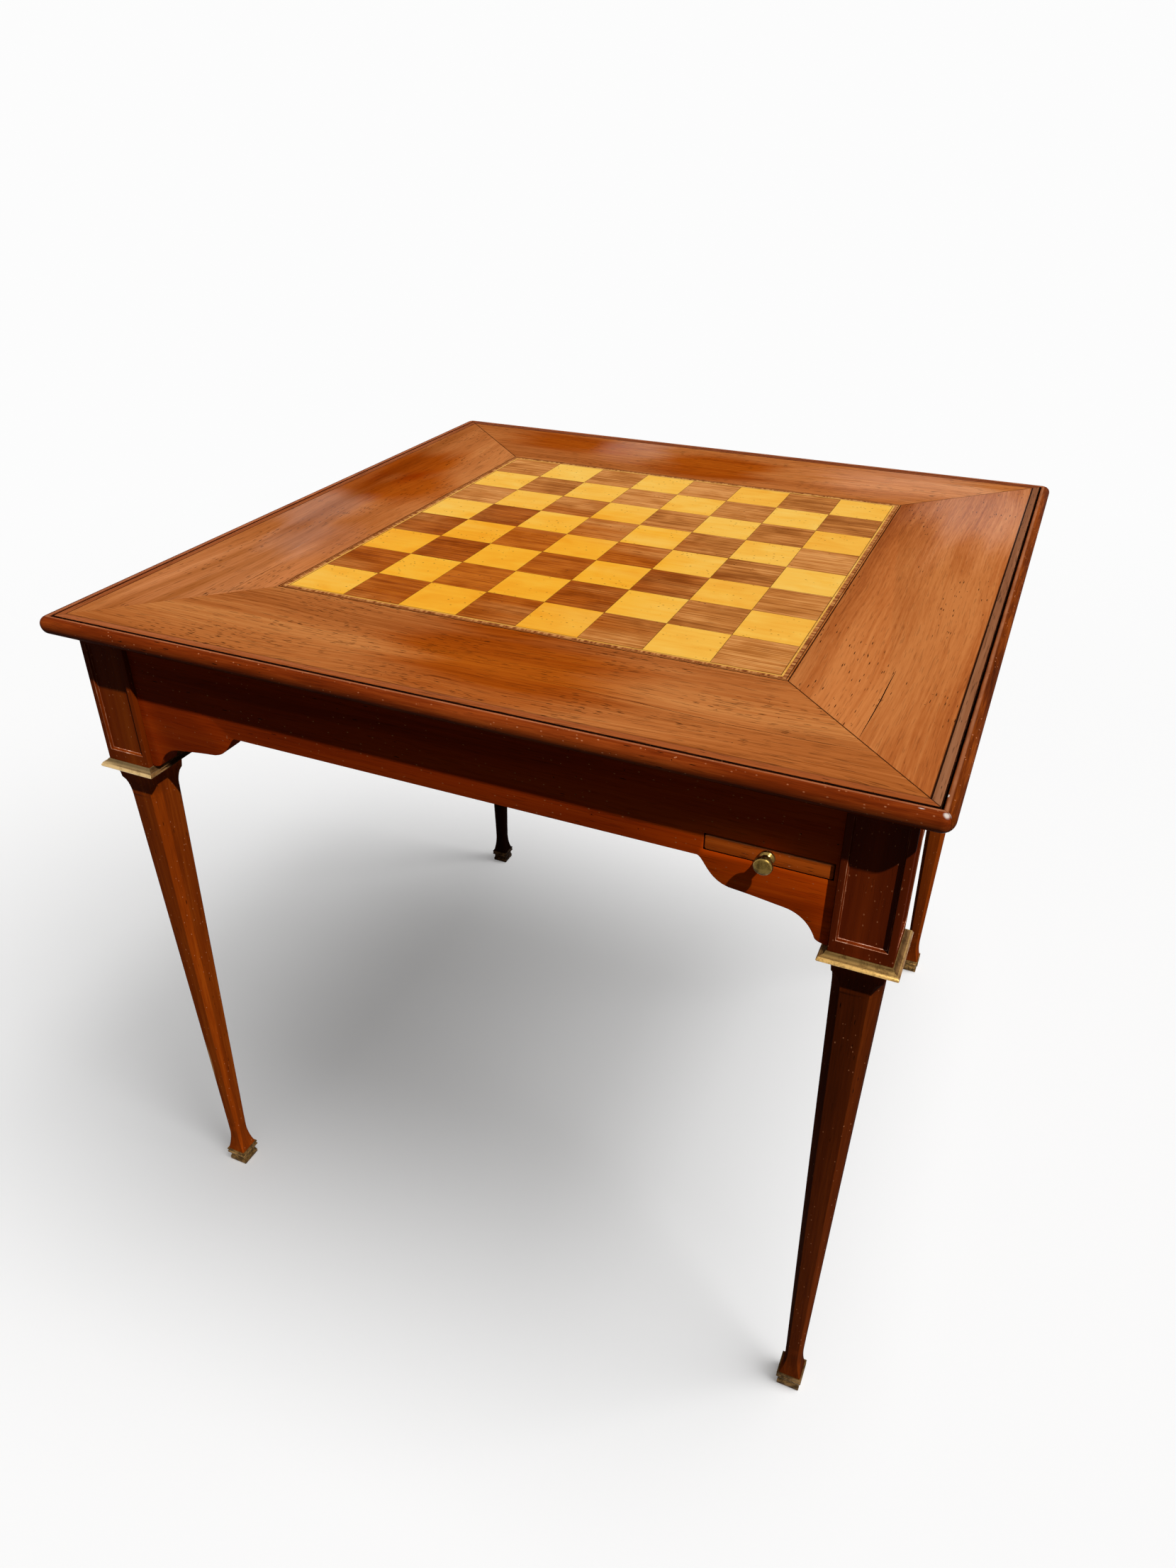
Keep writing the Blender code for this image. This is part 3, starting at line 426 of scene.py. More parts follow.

# %% [markdown]
# ## The finishes of the top
#
# The four border boards come from different planks, so each has tones and a grain of its own. Light has
# faded some places, which are also painted paler and bluer as painted sheen, others have stayed deep,
# and hands have polished a few. Noise alone would put these anywhere. Each is a spot instead, with a
# place and a reach, and noise only makes its edge ragged.

# %% The four boards
honey_tones = (shade(150, 76, 27), shade(186, 106, 50), shade(208, 132, 70), shade(46, 18, 6))
amber_tones = (shade(148, 71, 30), shade(183, 101, 47), shade(205, 125, 66), shade(48, 20, 8))
soft_tones = (shade(158, 84, 32), shade(184, 106, 52), shade(202, 126, 68), shade(46, 18, 6))
board_finishes = [
    wood("board_front", honey_tones, "x", (0.3, 0.1, 0.2), streak_share=0.5, bend=0.07, dashes=0.6,
         pits=0.12, tints=[(0.02, -0.31, 0.14, 0.09, heart_tone)], grime=seam_grime(0.35)),
    wood("board_right", amber_tones, "y", (1.7, 0.4, 0.9), figure=0.12, bend=0.03, pores_share=0.2,
         dashes=0.25, pits=0.12, tints=[(0.33, 0.28, 0.08, 0.22, faded_and_sheen_tone)],
         polished=[(0.34, 0.28, 0.08, 0.16)], grime=seam_grime(1)),
    wood("board_back", honey_tones, "x", (2.9, 0.8, 1.4), streak_share=0.5, bend=0.06, dashes=0.35,
         tints=[(0.0, 0.31, 0.09, 0.07, heart_tone), (-0.22, 0.34, 0.12, 0.05, heart_tone),
                (0.27, 0.33, 0.15, 0.06, faded_and_sheen_tone)],
         polished=[(-0.12, 0.34, 0.06, 0.06), (0.26, 0.33, 0.13, 0.08)], pits=0.12, grime=seam_grime(0.8)),
    wood("board_left", soft_tones, "y", (4.1, 1.9, 0.3), streak_share=0.35, bend=0.06, pores_share=0.3,
         dashes=0.4, tints=[(-0.31, 0.07, 0.09, 0.08, heart_tone), (-0.35, 0.16, 0.06, 0.09, heart_tone),
                (-0.31, -0.24, 0.10, 0.13, faded_and_sheen_tone)],
         polished=[(-0.355, -0.03, 0.07, 0.07), (-0.29, -0.12, 0.06, 0.07)], pits=0.12,
         grime=seam_grime(0.4))]
print("board finishes:", [finish.name for finish in board_finishes])

# %% [markdown]
# ## The finishes of the frame, the moulding and the slides
#
# The frame is redder and darker than the top, and its boards share one finish for each direction of the
# grain. Along the crest of the roll the polish has worn thin, and a painted highlight lies there too, so
# that finish takes a function that says where. The quirk is painted dark with dirt and painted shade, so
# it has a finish of its own. The slides are the palest wood below the top, because they were handled most.

# %% The boards of the frame
shift_of_grain = {"x": (0.7, 3.1, 0.2), "y": (2.2, 0.5, 1.6)}
# Painted light: a brighter patch on the lit part of the front apron near the right bracket, kept below the
# shadow of the overhang.
lit_apron_patches = {"x": [(0.29, -0.375, 0.13, 0.10, 0.632, 0.050, painted_light_tone)], "y": []}
russet_tones = (shade(136, 40, 2), shade(166, 55, 5), shade(188, 74, 14), shade(20, 5, 0))
frame_finish = {
    grain: wood(
        "frame_wood_" + grain, russet_tones, grain, shift_of_grain[grain], bands=(1.5, 22), streaks=(9, 420),
        streak_share=0.3, pores_share=0.15, pits=0.3, dashes=0.06, chips=0.5, wax=0.015,
        tints=lit_apron_patches[grain])
    for grain in "xy"}
print("frame finishes:", sorted(finish.name for finish in frame_finish.values()))

# %% The roll of the moulding
roll_tones = {
    "front": (shade(98, 32, 4), shade(128, 48, 10), shade(158, 70, 22), shade(22, 7, 1)),
    "right": (shade(66, 22, 2), shade(112, 46, 6), shade(160, 76, 18), shade(20, 6, 2)),
    "back": (shade(96, 34, 8), shade(128, 52, 16), shade(160, 76, 32), shade(22, 7, 1)),
    "left": (shade(96, 34, 8), shade(128, 52, 16), shade(160, 76, 32), shade(22, 7, 1))}
# The first spot on the front and on the right roll is a painted glint at the near corner, where the key light
# is mirrored; the others are scuffs of bare wood.
roll_scuffs_and_glint = {
    "front": [(0.3958, -0.3986, 0.0028, 0.0024), (0.3795, -0.3978, 0.0030, 0.0006)],
    "right": [(0.3958, -0.3986, 0.0028, 0.0024), (0.3934, -0.3742, 0.0008, 0.0020)],
    "back": [], "left": [(-0.3990, -0.3815, 0.0014, 0.0030)]}


def crest_wear_and_highlight(finish):
    """The crest of the roll beside the quirk, painted pale: partly polish that cloths have rubbed thin,
    partly painted highlight.
    """
    reach = plan_distances(finish)[2]
    place = finish.place()
    uneven = finish.noise(stretched(finish, place, 40, 40), 3.0) * 0.9 + 0.05
    return finish.step(abs(reach - crest_line), 0.0019, 0.0005) * uneven


roll_finish = {
    side: wood(
        "roll_wood_" + side, roll_tones[side], grain, shift_of_grain[grain], bands=(5, 40), streaks=(24, 500),
        streak_share=0.5, pores_share=0.2, pits=0.3, dashes=0.1, chips=0.85, wax=0.03,
        scuffs_and_glints=roll_scuffs_and_glint[side], wear_and_highlight=crest_wear_and_highlight)
    for side, grain in zip(side_names, grain_of_side)}
print("roll finishes:", sorted(finish.name for finish in roll_finish.values()))

# %% The flat band of the moulding, and the dirt and painted shade in its quirk
# The right band's greyer tones are painted sheen.
band_tones = {
    "front": (shade(146, 70, 26), shade(168, 88, 42), shade(188, 106, 60), shade(46, 18, 6)),
    "right": (shade(124, 72, 42), shade(150, 94, 60), shade(170, 114, 78), shade(34, 16, 9)),
    "back": (shade(112, 50, 20), shade(136, 66, 32), shade(156, 84, 46), shade(32, 13, 5)),
    "left": (shade(132, 62, 24), shade(154, 80, 38), shade(174, 98, 54), shade(40, 16, 6))}
band_seams = {"front": 0.3, "right": 1, "back": 0.8, "left": 0.6}
band_scuffs = {"front": [(0.3865, -0.3847, 0.0012, 0.0008)], "right": [], "back": [], "left": []}
band_finish = {
    side: wood(
        "band_wood_" + side, band_tones[side], grain, (3.3, 1.0, 0.6), pits=0.12, dashes=0.2, wax=0.03,
        scuffs_and_glints=band_scuffs[side], grime=band_grime(band_seams[side]))
    for side, grain in zip(side_names, grain_of_side)}
# The dark finish of the quirk, the crack walls and the slot walls: dirt, and painted shade in these recesses.
dirt_and_shade_tones = (shade(30, 13, 6), shade(44, 20, 9), shade(70, 32, 15), shade(14, 6, 2))
dirt_and_shade_finish = wood(
    "dirt_and_painted_shade", dirt_and_shade_tones, "x", (0.9, 2.7, 1.1), bands=(40, 90), pits=0.4, chips=0.2, roughness=0.6)
print("band finishes:", sorted(finish.name for finish in band_finish.values()))

# %% The candle slides, with wear and a painted highlight along their upper arris
slide_tones = (shade(164, 64, 9), shade(196, 88, 20), shade(218, 110, 36), shade(36, 12, 2))
slide_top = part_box("front_slide_facing")[1].z
slide_front = -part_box("front_slide_facing")[0].y


def slide_arris_wear_and_highlight(finish):
    """The upper arris of a slide, painted pale: partly wear where it rubs against the apron, partly painted
    highlight.
    """
    place = finish.place()
    height = finish.axis(place, "Z")
    deep = plan_distances(finish)[1]
    uneven = finish.noise(stretched(finish, place, 55, 55), 3.0)
    front = finish.step(deep, slide_front - 0.0016, slide_front - 0.0008)
    return finish.step(height, slide_top - 0.0014, slide_top - 0.0004) * front * uneven


slide_finish = wood(
    "slide_wood", slide_tones, "x", (6.1, 0.3, 2.2), pits=0.25, dashes=0.1, chips=0.3, wax=0.03,
    wear_and_highlight=slide_arris_wear_and_highlight)
print("slide finish:", slide_finish.name)

# %% [markdown]
# ## The finishes of the legs
#
# Each leg was cut from a stick of its own, and none matches the next. One function makes their wood, so
# that a leg needs only its own four tones. The chamfers and the blocks take the same tones with a little
# more or less of each colour, because they catch the light in another way than the flats do. The back
# left leg and its block are painted nearly black, as painted shade.

# %% Four sticks of wood for the legs
leg_tones = {
    "front_left": (shade(110, 40, 4), shade(140, 57, 8), shade(166, 78, 18), shade(24, 8, 0)),
    "front_right": (shade(70, 26, 3), shade(88, 33, 5), shade(110, 46, 10), shade(12, 4, 0)),
    "back_right": (shade(118, 46, 8), shade(146, 62, 12), shade(168, 80, 24), shade(22, 8, 0)),
    # The back left leg is made nearly black as painted shade, and its block takes the same tones.
    "back_left": (shade(52, 20, 3), shade(70, 28, 5), shade(92, 40, 10), shade(12, 4, 0))}
leg_scuffs = dict.fromkeys(corner_names, ())
leg_scuffs["front_left"] = [(-0.3612, -0.3660, 0.0026, 0.0026, 0.172, 0.036)]
leg_bare = shade(204, 146, 92)
chamfer_share = (1.3, 1.3, 1.1)
block_share = {
    "front_left": (0.78, 0.70, 0.6), "front_right": (1.42, 1.08, 0.9), "back_right": (1, 1, 1),
    "back_left": (1, 1, 1)}


def weighted(tones, shares):
    """The same tones, with more or less red, green and blue in them."""
    return [tuple(value * share for value, share in zip(tone, shares)) + (1.0,) for tone in tones]


def leg_wood(name, tones, corner, turns):
    return wood(
        name + corner, tones, "z", (5.3 + 0.7 * turns, 1.2, 2.4), bands=(1.2, 30), streaks=(8, 420),
        pores_share=0.15, pits=0.3, dashes=0.06, chips=0.5, wax=0.02, scuffs_and_glints=leg_scuffs[corner],
        bare=leg_bare)


leg_finish = {}
chamfer_finish = {}
block_finish = {}
for turns, corner in enumerate(corner_names):
    chamfer_tones = weighted(leg_tones[corner], chamfer_share)
    block_tones = weighted(leg_tones[corner], block_share[corner])
    leg_finish[corner] = leg_wood("leg_wood_", leg_tones[corner], corner, turns)
    chamfer_finish[corner] = leg_wood("chamfer_wood_", chamfer_tones, corner, turns)
    block_finish[corner] = wood(
        "block_wood_" + corner, block_tones, "z", (1.3, 4.2, 0.7 * turns), bands=(1.2, 14),
        streaks=(8, 300), streak_share=0.15, pores_share=0.1, pits=0.3, dashes=0.04, chips=0.8, wax=0.02)
print("leg finishes:", sorted(finish.name for finish in leg_finish.values()))

# %% [markdown]
# ## Pale arrises with wear and painted highlights, and the wood inside the table
#
# The edges of the sunk panels are pale, partly from wear and partly as painted highlight, and the sill,
# which faces up to the light, is painted brightest. Inside the table nothing was ever polished, so that
# wood is pale and dull. The ground of the game well is dark, so that the points inlaid in it stand out.

# %% Pale arrises with wear and painted highlights, and the wood inside the table
pale_bevel_tones = (shade(92, 40, 18), shade(142, 76, 46), shade(196, 136, 102), shade(40, 16, 6))
# The sill faces up to the light and is painted brighter, as painted highlight.
sill_highlight = (0, 0, 1.0, 1.0, 0.6060, 0.0040, (1.9, 2.8, 3.9, 1))
bevel_wear_and_highlight = wood(
    "bevel_wear_and_painted_highlight", pale_bevel_tones, "z", (1.3, 0.2, 2.4), bands=(50, 110), streaks=(60, 300), pits=0.3, dashes=0.1,
    chips=0.3, wax=0.1, tints=[sill_highlight])
inner_tones = (shade(140, 100, 62), shade(170, 126, 82), shade(190, 148, 102), shade(84, 54, 30))
inner_finish = {
    grain: wood(
        "inner_wood_" + grain, inner_tones, grain, (1.1, 2.0, 0.4), pits=0.1, dashes=0.1,
        roughness=0.62, gloss=0.2)
    for grain in ("x", "y")}
ground_tones = (shade(40, 22, 14), shade(58, 34, 22), shade(72, 44, 30), shade(18, 10, 6))
ground_finish = wood("well_ground", ground_tones, "y", (0.2, 0.9, 3.0), pits=0.1, dashes=0.1)
print("inner finishes:", [finish.name for finish in inner_finish.values()], ground_finish.name)

# %% [markdown]
# ## Veneer squares
#
# Each of the sixty-four squares was sawn from its own place in a sheet, so neighbours never match. A
# random number for each square moves the grain pattern and makes the tone lighter or darker. The
# square's number comes from rounding down its place on the board, which needs no painting by hand. What
# is left after the rounding tells how near a point is to the square's edge, and draws the dirt that has
# settled in the joints.

# %% A random number for each square
square_size = board_half / 4
joint_width = (0.4925, 0.4965)
veneer_roughness = 0.33


def square_draw(finish):
    place = finish.place()
    corner = finish.vector("ADD", place, (board_half, board_half, 0))
    counted = finish.vector("MULTIPLY", corner, (1 / square_size, 1 / square_size, 0))
    number = finish.vector("FLOOR", counted)
    draw = finish.node("ShaderNodeTexWhiteNoise", {"noise_dimensions": "3D"}, {"Vector": number})
    return place, counted, draw, Wire(finish, draw.socket.node.outputs["Color"])


def joint_line(finish, counted):
    """1 in a thin line round each square, where dirt has settled into the joint."""
    inside = finish.vector("SUBTRACT", finish.vector("FRACTION", counted), (0.5, 0.5, 0))
    across = abs(finish.axis(inside, "X"))
    deep = abs(finish.axis(inside, "Y"))
    return finish.step(across.maths("MAXIMUM", across, deep), *joint_width)


print("squares of", round(square_size * 1000, 2), "mm")

# %% A veneer that changes from square to square
def veneer(name, tones, deep, streaks, contrast, freckles):
    """Deep is what the colour is multiplied by towards the left of the board, where it has faded less."""
    material = bpy.data.materials.new(name)
    finish = Finish(material)
    place, counted, draw, spread = square_draw(finish)
    moved = finish.vector("ADD", place, stretched(finish, spread, 3, 3))
    lines = finish.noise(stretched(finish, moved, *streaks), 4.0, 0.65, 0.2)
    cloud = finish.noise(stretched(finish, moved, 26, 40), 2.0, 0.5, 0.6)
    depth = (lines - 0.5) * contrast + (cloud - 0.5) * 0.35 + (draw - 0.5) * 0.16 + 0.5
    dark, middle, light, pore = tones
    colour = finish.ramp(depth, [(0.33, dark), (0.5, middle), (0.68, light)])
    colour = finish.blend(patch(finish, moved, -0.09, -0.12, 0.24, 0.26), colour, deep, "MULTIPLY")
    gathering = finish.step(finish.noise(stretched(finish, moved, 20, 34), 1.0), 0.42, 0.6)
    dots = pitted(finish, moved, 150, 230, 0.21, freckles, gathering)[0]
    pores = finish.step(finish.noise(stretched(finish, moved, 50, 1300), 0.0), 0.64, 0.74)
    marks = finish.step(dots + pores * (contrast * 0.5), 0.0, 1.0)
    colour = finish.blend(marks * 0.75, colour, pore)
    colour = finish.blend(joint_line(finish, counted) * 0.6, colour, joint_tone)
    height = lines * 0.1 - marks * 0.6
    normal = finish.bump(height, 0.25, 0.0004)
    shine = lines * 0.1 + (veneer_roughness - 0.05) + marks * 0.2
    finish.principled({
        "Base Color": colour, "Roughness": shine, "Normal": normal, "Specular IOR Level": 0.0,
        "Coat Weight": cloud * 0.06, "Coat Roughness": 0.22})
    return material


# %% The pale and the dark veneer
joint_tone = shade(70, 50, 14)
pale_tones = (shade(248, 172, 56), shade(254, 192, 76), shade(255, 206, 98), shade(146, 84, 20))
walnut_tones = (shade(148, 82, 30), shade(197, 122, 56), shade(230, 160, 90), shade(84, 40, 14))
pale_veneer = veneer("pale_veneer", pale_tones, (1.0, 0.86, 0.40, 1), (9, 170), 0.3, 0.9)
walnut_veneer = veneer("walnut_veneer", walnut_tones, (0.74, 0.44, 0.10, 1), (9, 460), 0.9, 0.2)
print("veneers:", pale_veneer.name, walnut_veneer.name)

# %% [markdown]
# ## The strings and the cross band
#
# Three narrow strips lie between the squares and the boards: a pale string, a cross band and a dark
# string. A string is cut along the grain and looks plain, so it takes the wood finish with fine dark
# lines at its edges. A cross band is cut across the grain, and it is made of many short slips, so it
# needs a finish of its own, whose hatches follow the side that they lie on.

# %% The strings, and the points of the game well
string_tones = (shade(224, 154, 62), shade(242, 178, 82), shade(252, 196, 100), shade(140, 80, 30))
band_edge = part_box("cross_band")[1].x


def square_line(finish):
    """A fine dark line where the pale string meets the squares."""
    return dirt_line(finish, plan_distances(finish)[2], board_half, 0.0006, 0.0003)


def string_lines(finish):
    """Two fine dark lines, at the inner and the outer edge of the string."""
    reach = plan_distances(finish)[2]
    inner = dirt_line(finish, reach, band_edge, 0.0009, 0.0006)
    return inner + dirt_line(finish, reach, seam_inner, -0.0007, -0.0004)


string_finish = wood("pale_string", string_tones, pits=0.05, dashes=0.0, grime=square_line)
point_finish = wood("pale_point", string_tones, "y", pits=0.05, dashes=0.0)
dark_string_finish = wood("dark_string", honey_tones, pits=0.0, dashes=0.0, grime=string_lines)
print("strings:", string_finish.name, dark_string_finish.name, "points:", point_finish.name)

# %% The cross band, whose grain runs across its width
slips_per_metre = 290


def cross_banding():
    """Short slips of veneer laid across the band, so that pale and dark hatches follow one another."""
    material = bpy.data.materials.new("cross_banding")
    finish = Finish(material)
    place = finish.place()
    x = finish.axis(place, "X")
    y = finish.axis(place, "Y")
    beside = abs(x) > abs(y)
    along = beside * y + (1 - beside) * x
    slips = finish.node(
        "ShaderNodeCombineXYZ", None, {"X": along * slips_per_metre, "Y": (x + y) * 22, "Z": beside * 7})
    hatch = finish.noise(slips, 1.0, 0.6)
    colour = finish.ramp(hatch, [
        (0.36, shade(136, 72, 36)), (0.5, shade(180, 108, 56)), (0.64, shade(212, 146, 84))])
    normal = finish.bump(hatch, 0.2, 0.0003)
    shine = hatch * 0.1 + 0.28
    finish.principled({
        "Base Color": colour, "Roughness": shine, "Normal": normal, "Specular IOR Level": 0.0})
    return material


banding_finish = cross_banding()
print("cross band finish:", banding_finish.name)

# %% [markdown]
# ## Brass, steel and baize
#
# Old brass is a clear metal under a brown skin that thins where hands and cloths have rubbed it. Two
# noises at different scales place that skin, and it dulls the metal as well as darkening it. A collar
# also keeps dirt under its upper edge, and its sides that look in towards the table are painted dark as
# painted shade, so two of its masks come from the place alone. The sides of the collars that look left
# and right take a darker brass, as painted shade. Each shoe has worn in its own way, so they differ in
# tone, and the back left one is also painted nearly black, as painted shade. Baize is a fulled wool
# cloth, so it shows a soft nap and no threads.

# %% Aged brass and steel
# The sides of a collar that look in towards the table are painted dark, as painted shade; these are their
# bounds.
collar_inward = (0.3265, 0.3250)
collar_outward = (0.366, 0.357)
collar_upper_edge = (0.5886, 0.5908)


def metal(name, bright, skin, cover, roughness, collar=False):
    """Bright is the clear metal, skin its tarnish, and cover the level below which the skin lies."""
    material = bpy.data.materials.new(name)
    finish = Finish(material)
    place = finish.place()
    clouds = finish.noise(stretched(finish, place, 140, 140), 4.0, 0.6, 0.4)
    specks = finish.noise(stretched(finish, place, 900, 900), 2.0, 0.6)
    tarnish = finish.step(clouds * 0.7 + specks * 0.3, cover + 0.1, cover - 0.12)
    colour = finish.blend(tarnish * 0.85, bright, skin)
    if collar:
        height = finish.axis(place, "Z")
        across, deep, reach = plan_distances(finish)
        inward = across.maths("MINIMUM", across, deep)
        shaded_inward = finish.step(inward, *collar_inward) * finish.step(reach, *collar_outward)
        dirt_and_shade = shaded_inward.maths("MAXIMUM", shaded_inward, finish.step(height, *collar_upper_edge) * 0.75)
        colour = finish.blend(dirt_and_shade * 0.94, colour, collar_dirt_and_shade)
        tarnish = tarnish.maths("MAXIMUM", tarnish, dirt_and_shade * 2.2)
    shine = tarnish * 0.22 + specks * 0.14 + (roughness - 0.07)
    normal = finish.bump(clouds * 0.6 + specks * 0.4, 0.3, 0.0003)
    finish.principled({
        "Base Color": colour, "Metallic": 1.0 - tarnish * 0.35, "Roughness": shine, "Normal": normal,
        "Specular IOR Level": 0.0})
    return material


collar_dirt_and_shade = shade(40, 22, 10)
bright_brass = metal("bright_brass", shade(220, 176, 104), shade(128, 92, 48), 0.44, 0.34, collar=True)
dull_brass = metal("dull_brass", shade(216, 182, 126), shade(156, 126, 82), 0.42, 0.30, collar=True)
# A darker brass for the collar sides that look left and right, as painted shade.
shaded_side_brass = metal("shaded_side_brass", shade(164, 122, 74), shade(104, 72, 40), 0.48, 0.42, collar=True)
shoe_brass = metal("shoe_brass", shade(156, 118, 66), shade(58, 40, 22), 0.54, 0.38)
dark_brass = metal("dark_brass", shade(122, 92, 54), shade(46, 32, 18), 0.52, 0.36)
shaded_black_brass = metal("shaded_black_brass", shade(66, 44, 24), shade(24, 13, 6), 0.55, 0.5)
knob_brass = metal("knob_brass", shade(150, 122, 64), shade(96, 76, 36), 0.46, 0.22)
# A darker brass for the knob's face, as a painted dark reflection.
knob_face_dark_reflection = metal("knob_face_dark_reflection", shade(112, 90, 44), shade(74, 56, 24), 0.50, 0.34)
steel = metal("screw_steel", shade(150, 148, 144), shade(84, 70, 58), 0.45, 0.4)
collar_brass = {
    "front_left": dull_brass, "front_right": bright_brass,
    "back_right": bright_brass, "back_left": dull_brass}
foot_brass = dict.fromkeys(corner_names, shoe_brass)
foot_brass["front_right"] = dark_brass
# The back left shoe is painted nearly black, as painted shade.
foot_brass["back_left"] = shaded_black_brass
print("metals:", bright_brass.name, dull_brass.name, shoe_brass.name, knob_brass.name, steel.name)

# %% Baize
def wool_cloth():
    material = bpy.data.materials.new("green_baize")
    finish = Finish(material)
    place = finish.place()
    nap = finish.noise(stretched(finish, place, 1500, 1500), 3.0, 0.7, 0.5)
    worn = finish.noise(stretched(finish, place, 9, 9), 2.0, 0.5)
    depth = nap * 0.6 + worn * 0.4
    colour = finish.ramp(depth, [
        (0.35, shade(22, 66, 40)), (0.5, shade(34, 88, 54)), (0.68, shade(62, 118, 78))])
    finish.principled({
        "Base Color": colour, "Roughness": nap * 0.1 + 0.88, "Normal": finish.bump(nap, 0.6, 0.0005),
        "Sheen Weight": 0.4, "Sheen Roughness": 0.5, "Specular IOR Level": 0.2})
    return material


baize_finish = wool_cloth()
print("cloth:", baize_finish.name)

# %% [markdown]
# ## The workbench
#
# A few helpers do what every piece needs. A finished mesh gets its normals, its smooth shading with
# sharp arrises, its finish, the body it rides on, and the CAD solids that it stands for. A Boolean cut
# is done by Blender's own modifier, whose result is read back as a mesh.

# %% From bmesh to a finished piece
pieces = []


def finished(name, form, materials, body, stands_for, sharp_degrees=32):
    bmesh.ops.recalc_face_normals(form, faces=form.faces)
    mesh = bpy.data.meshes.new(name)
    form.to_mesh(mesh)
    form.free()
    mesh.shade_smooth()
    mesh.set_sharp_from_angle(angle=math.radians(sharp_degrees))
    for material in materials:
        mesh.materials.append(material)
    piece = bpy.data.objects.new(name, mesh)
    bpy.context.scene.collection.objects.link(piece)
    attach(piece, body)
    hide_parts(*stands_for)
    pieces.append(piece)
    return piece


# %% Cutting one shape with another
def carved(form, cutter, lining):
    """What is left of a form. The walls of the cut take the finish whose number is the lining's."""
    things = []
    for face in cutter.faces:
        face.material_index = lining
    for label, shape in (("blank", form), ("cutter", cutter)):
        bmesh.ops.recalc_face_normals(shape, faces=shape.faces)
        mesh = bpy.data.meshes.new(label)
        shape.to_mesh(mesh)
        shape.free()
        for _ in range(lining + 1):
            mesh.materials.append(None)
        things.append(bpy.data.objects.new(label, mesh))
        bpy.context.scene.collection.objects.link(things[-1])
    blank, tool = things
    cut = blank.modifiers.new("cut", "BOOLEAN")
    cut.operation = "DIFFERENCE"
    cut.solver = "EXACT"
    cut.object = tool
    result = bmesh.new()
    result.from_object(blank, bpy.context.evaluated_depsgraph_get())
    for thing in things:
        mesh = thing.data
        bpy.data.objects.remove(thing, do_unlink=True)
        bpy.data.meshes.remove(mesh)
    return result


# %% Boxes, rounded arrises, pushed faces, capped ends and quarter turns
def add_box(form, low, high):
    size = Vector(high) - Vector(low)
    middle = (Vector(high) + Vector(low)) / 2
    place = Matrix.Translation(middle) @ Matrix.Diagonal((*size, 1))
    return bmesh.ops.create_cube(form, size=1, matrix=place)["verts"]


def eased(form, edges, width, segments=2):
    """Round some edges over, as a plane and sandpaper do."""
    bmesh.ops.bevel(
        form, geom=edges, offset=width, segments=segments, profile=0.5, affect="EDGES", material=-1,
        clamp_overlap=True)
    return form


def sharp_edges(form, keep):
    """The arrises of a form that a test keeps."""
    limit = math.radians(40)
    return [edge for edge in form.edges
            if len(edge.link_faces) == 2 and edge.calc_face_angle() > limit and keep(edge)]


def in_surface(edge):
    """Whether an edge lies in the playing surface."""
    return min(vert.co.z for vert in edge.verts) > top_surface - weld


def pushed(form, faces, push, keep=False):
    """Extrude faces along a vector, and keep the first ones too where they close a plate."""
    grown = bmesh.ops.extrude_face_region(form, geom=faces, use_keep_orig=keep)["geom"]
    verts = [item for item in grown if isinstance(item, bmesh.types.BMVert)]
    bmesh.ops.translate(form, verts=verts, vec=push)
    return verts


def capped(form):
    bmesh.ops.holes_fill(form, edges=[edge for edge in form.edges if edge.is_boundary], sides=0)
    return form


def turned_to(form, quarters):
    """A copy of a shape, some quarter turns on round the middle of the table."""
    copy = form.copy()
    turn = Matrix.Rotation(quarters * math.pi / 2, 3, "Z")
    bmesh.ops.rotate(copy, verts=copy.verts, cent=(0, 0, 0), matrix=turn)
    return copy


def merged_copy(node):
    """A CAD node's shape as a clean bmesh, with its loose triangles joined into flat faces."""
    form = bmesh.new()
    form.from_mesh(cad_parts[node].data)
    bmesh.ops.remove_doubles(form, verts=form.verts, dist=weld)
    bmesh.ops.dissolve_limit(form, angle_limit=math.radians(1), verts=form.verts, edges=form.edges)
    return form


def arc(centre, reach, rise, start, end, steps):
    """Points on an arc, from one angle in degrees to another."""
    angles = [math.radians(start + (end - start) * step / steps) for step in range(steps + 1)]
    return [(centre[0] + reach * math.cos(angle), centre[1] + rise * math.sin(angle)) for angle in angles]


print("workbench ready")

# %% [markdown]
# ## The chequerboard
#
# The real board is thirty-two pale and thirty-two dark squares of veneer laid in turn. A grid gives all
# of them at once. Splitting it at every edge and insetting each face leaves the hairline joints, and the
# faces of one tone are kept for each piece.

# %% The squares
square_joint = 0.00012
square_arris = 0.00015
veneer_thickness = top_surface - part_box("chequer_veneer")[0].z


def squares(parity):
    form = bmesh.new()
    place = Matrix.Translation((0, 0, top_surface))
    bmesh.ops.create_grid(form, x_segments=8, y_segments=8, size=board_half, matrix=place)
    wrong = []
    for face in form.faces:
        middle = face.calc_center_median()
        column = math.floor((middle.x + board_half) / square_size)
        row = math.floor((middle.y + board_half) / square_size)
        if (column + row) % 2 != parity:
            wrong.append(face)
    bmesh.ops.delete(form, geom=wrong, context="FACES")
    bmesh.ops.split_edges(form, edges=form.edges)
    kept = list(form.faces)
    bmesh.ops.inset_individual(form, faces=kept, thickness=square_joint, depth=0)
    bmesh.ops.delete(form, geom=[face for face in form.faces if face not in kept], context="FACES")
    pushed(form, list(form.faces), (0, 0, -veneer_thickness), keep=True)
    return eased(form, sharp_edges(form, in_surface), square_arris, 1)


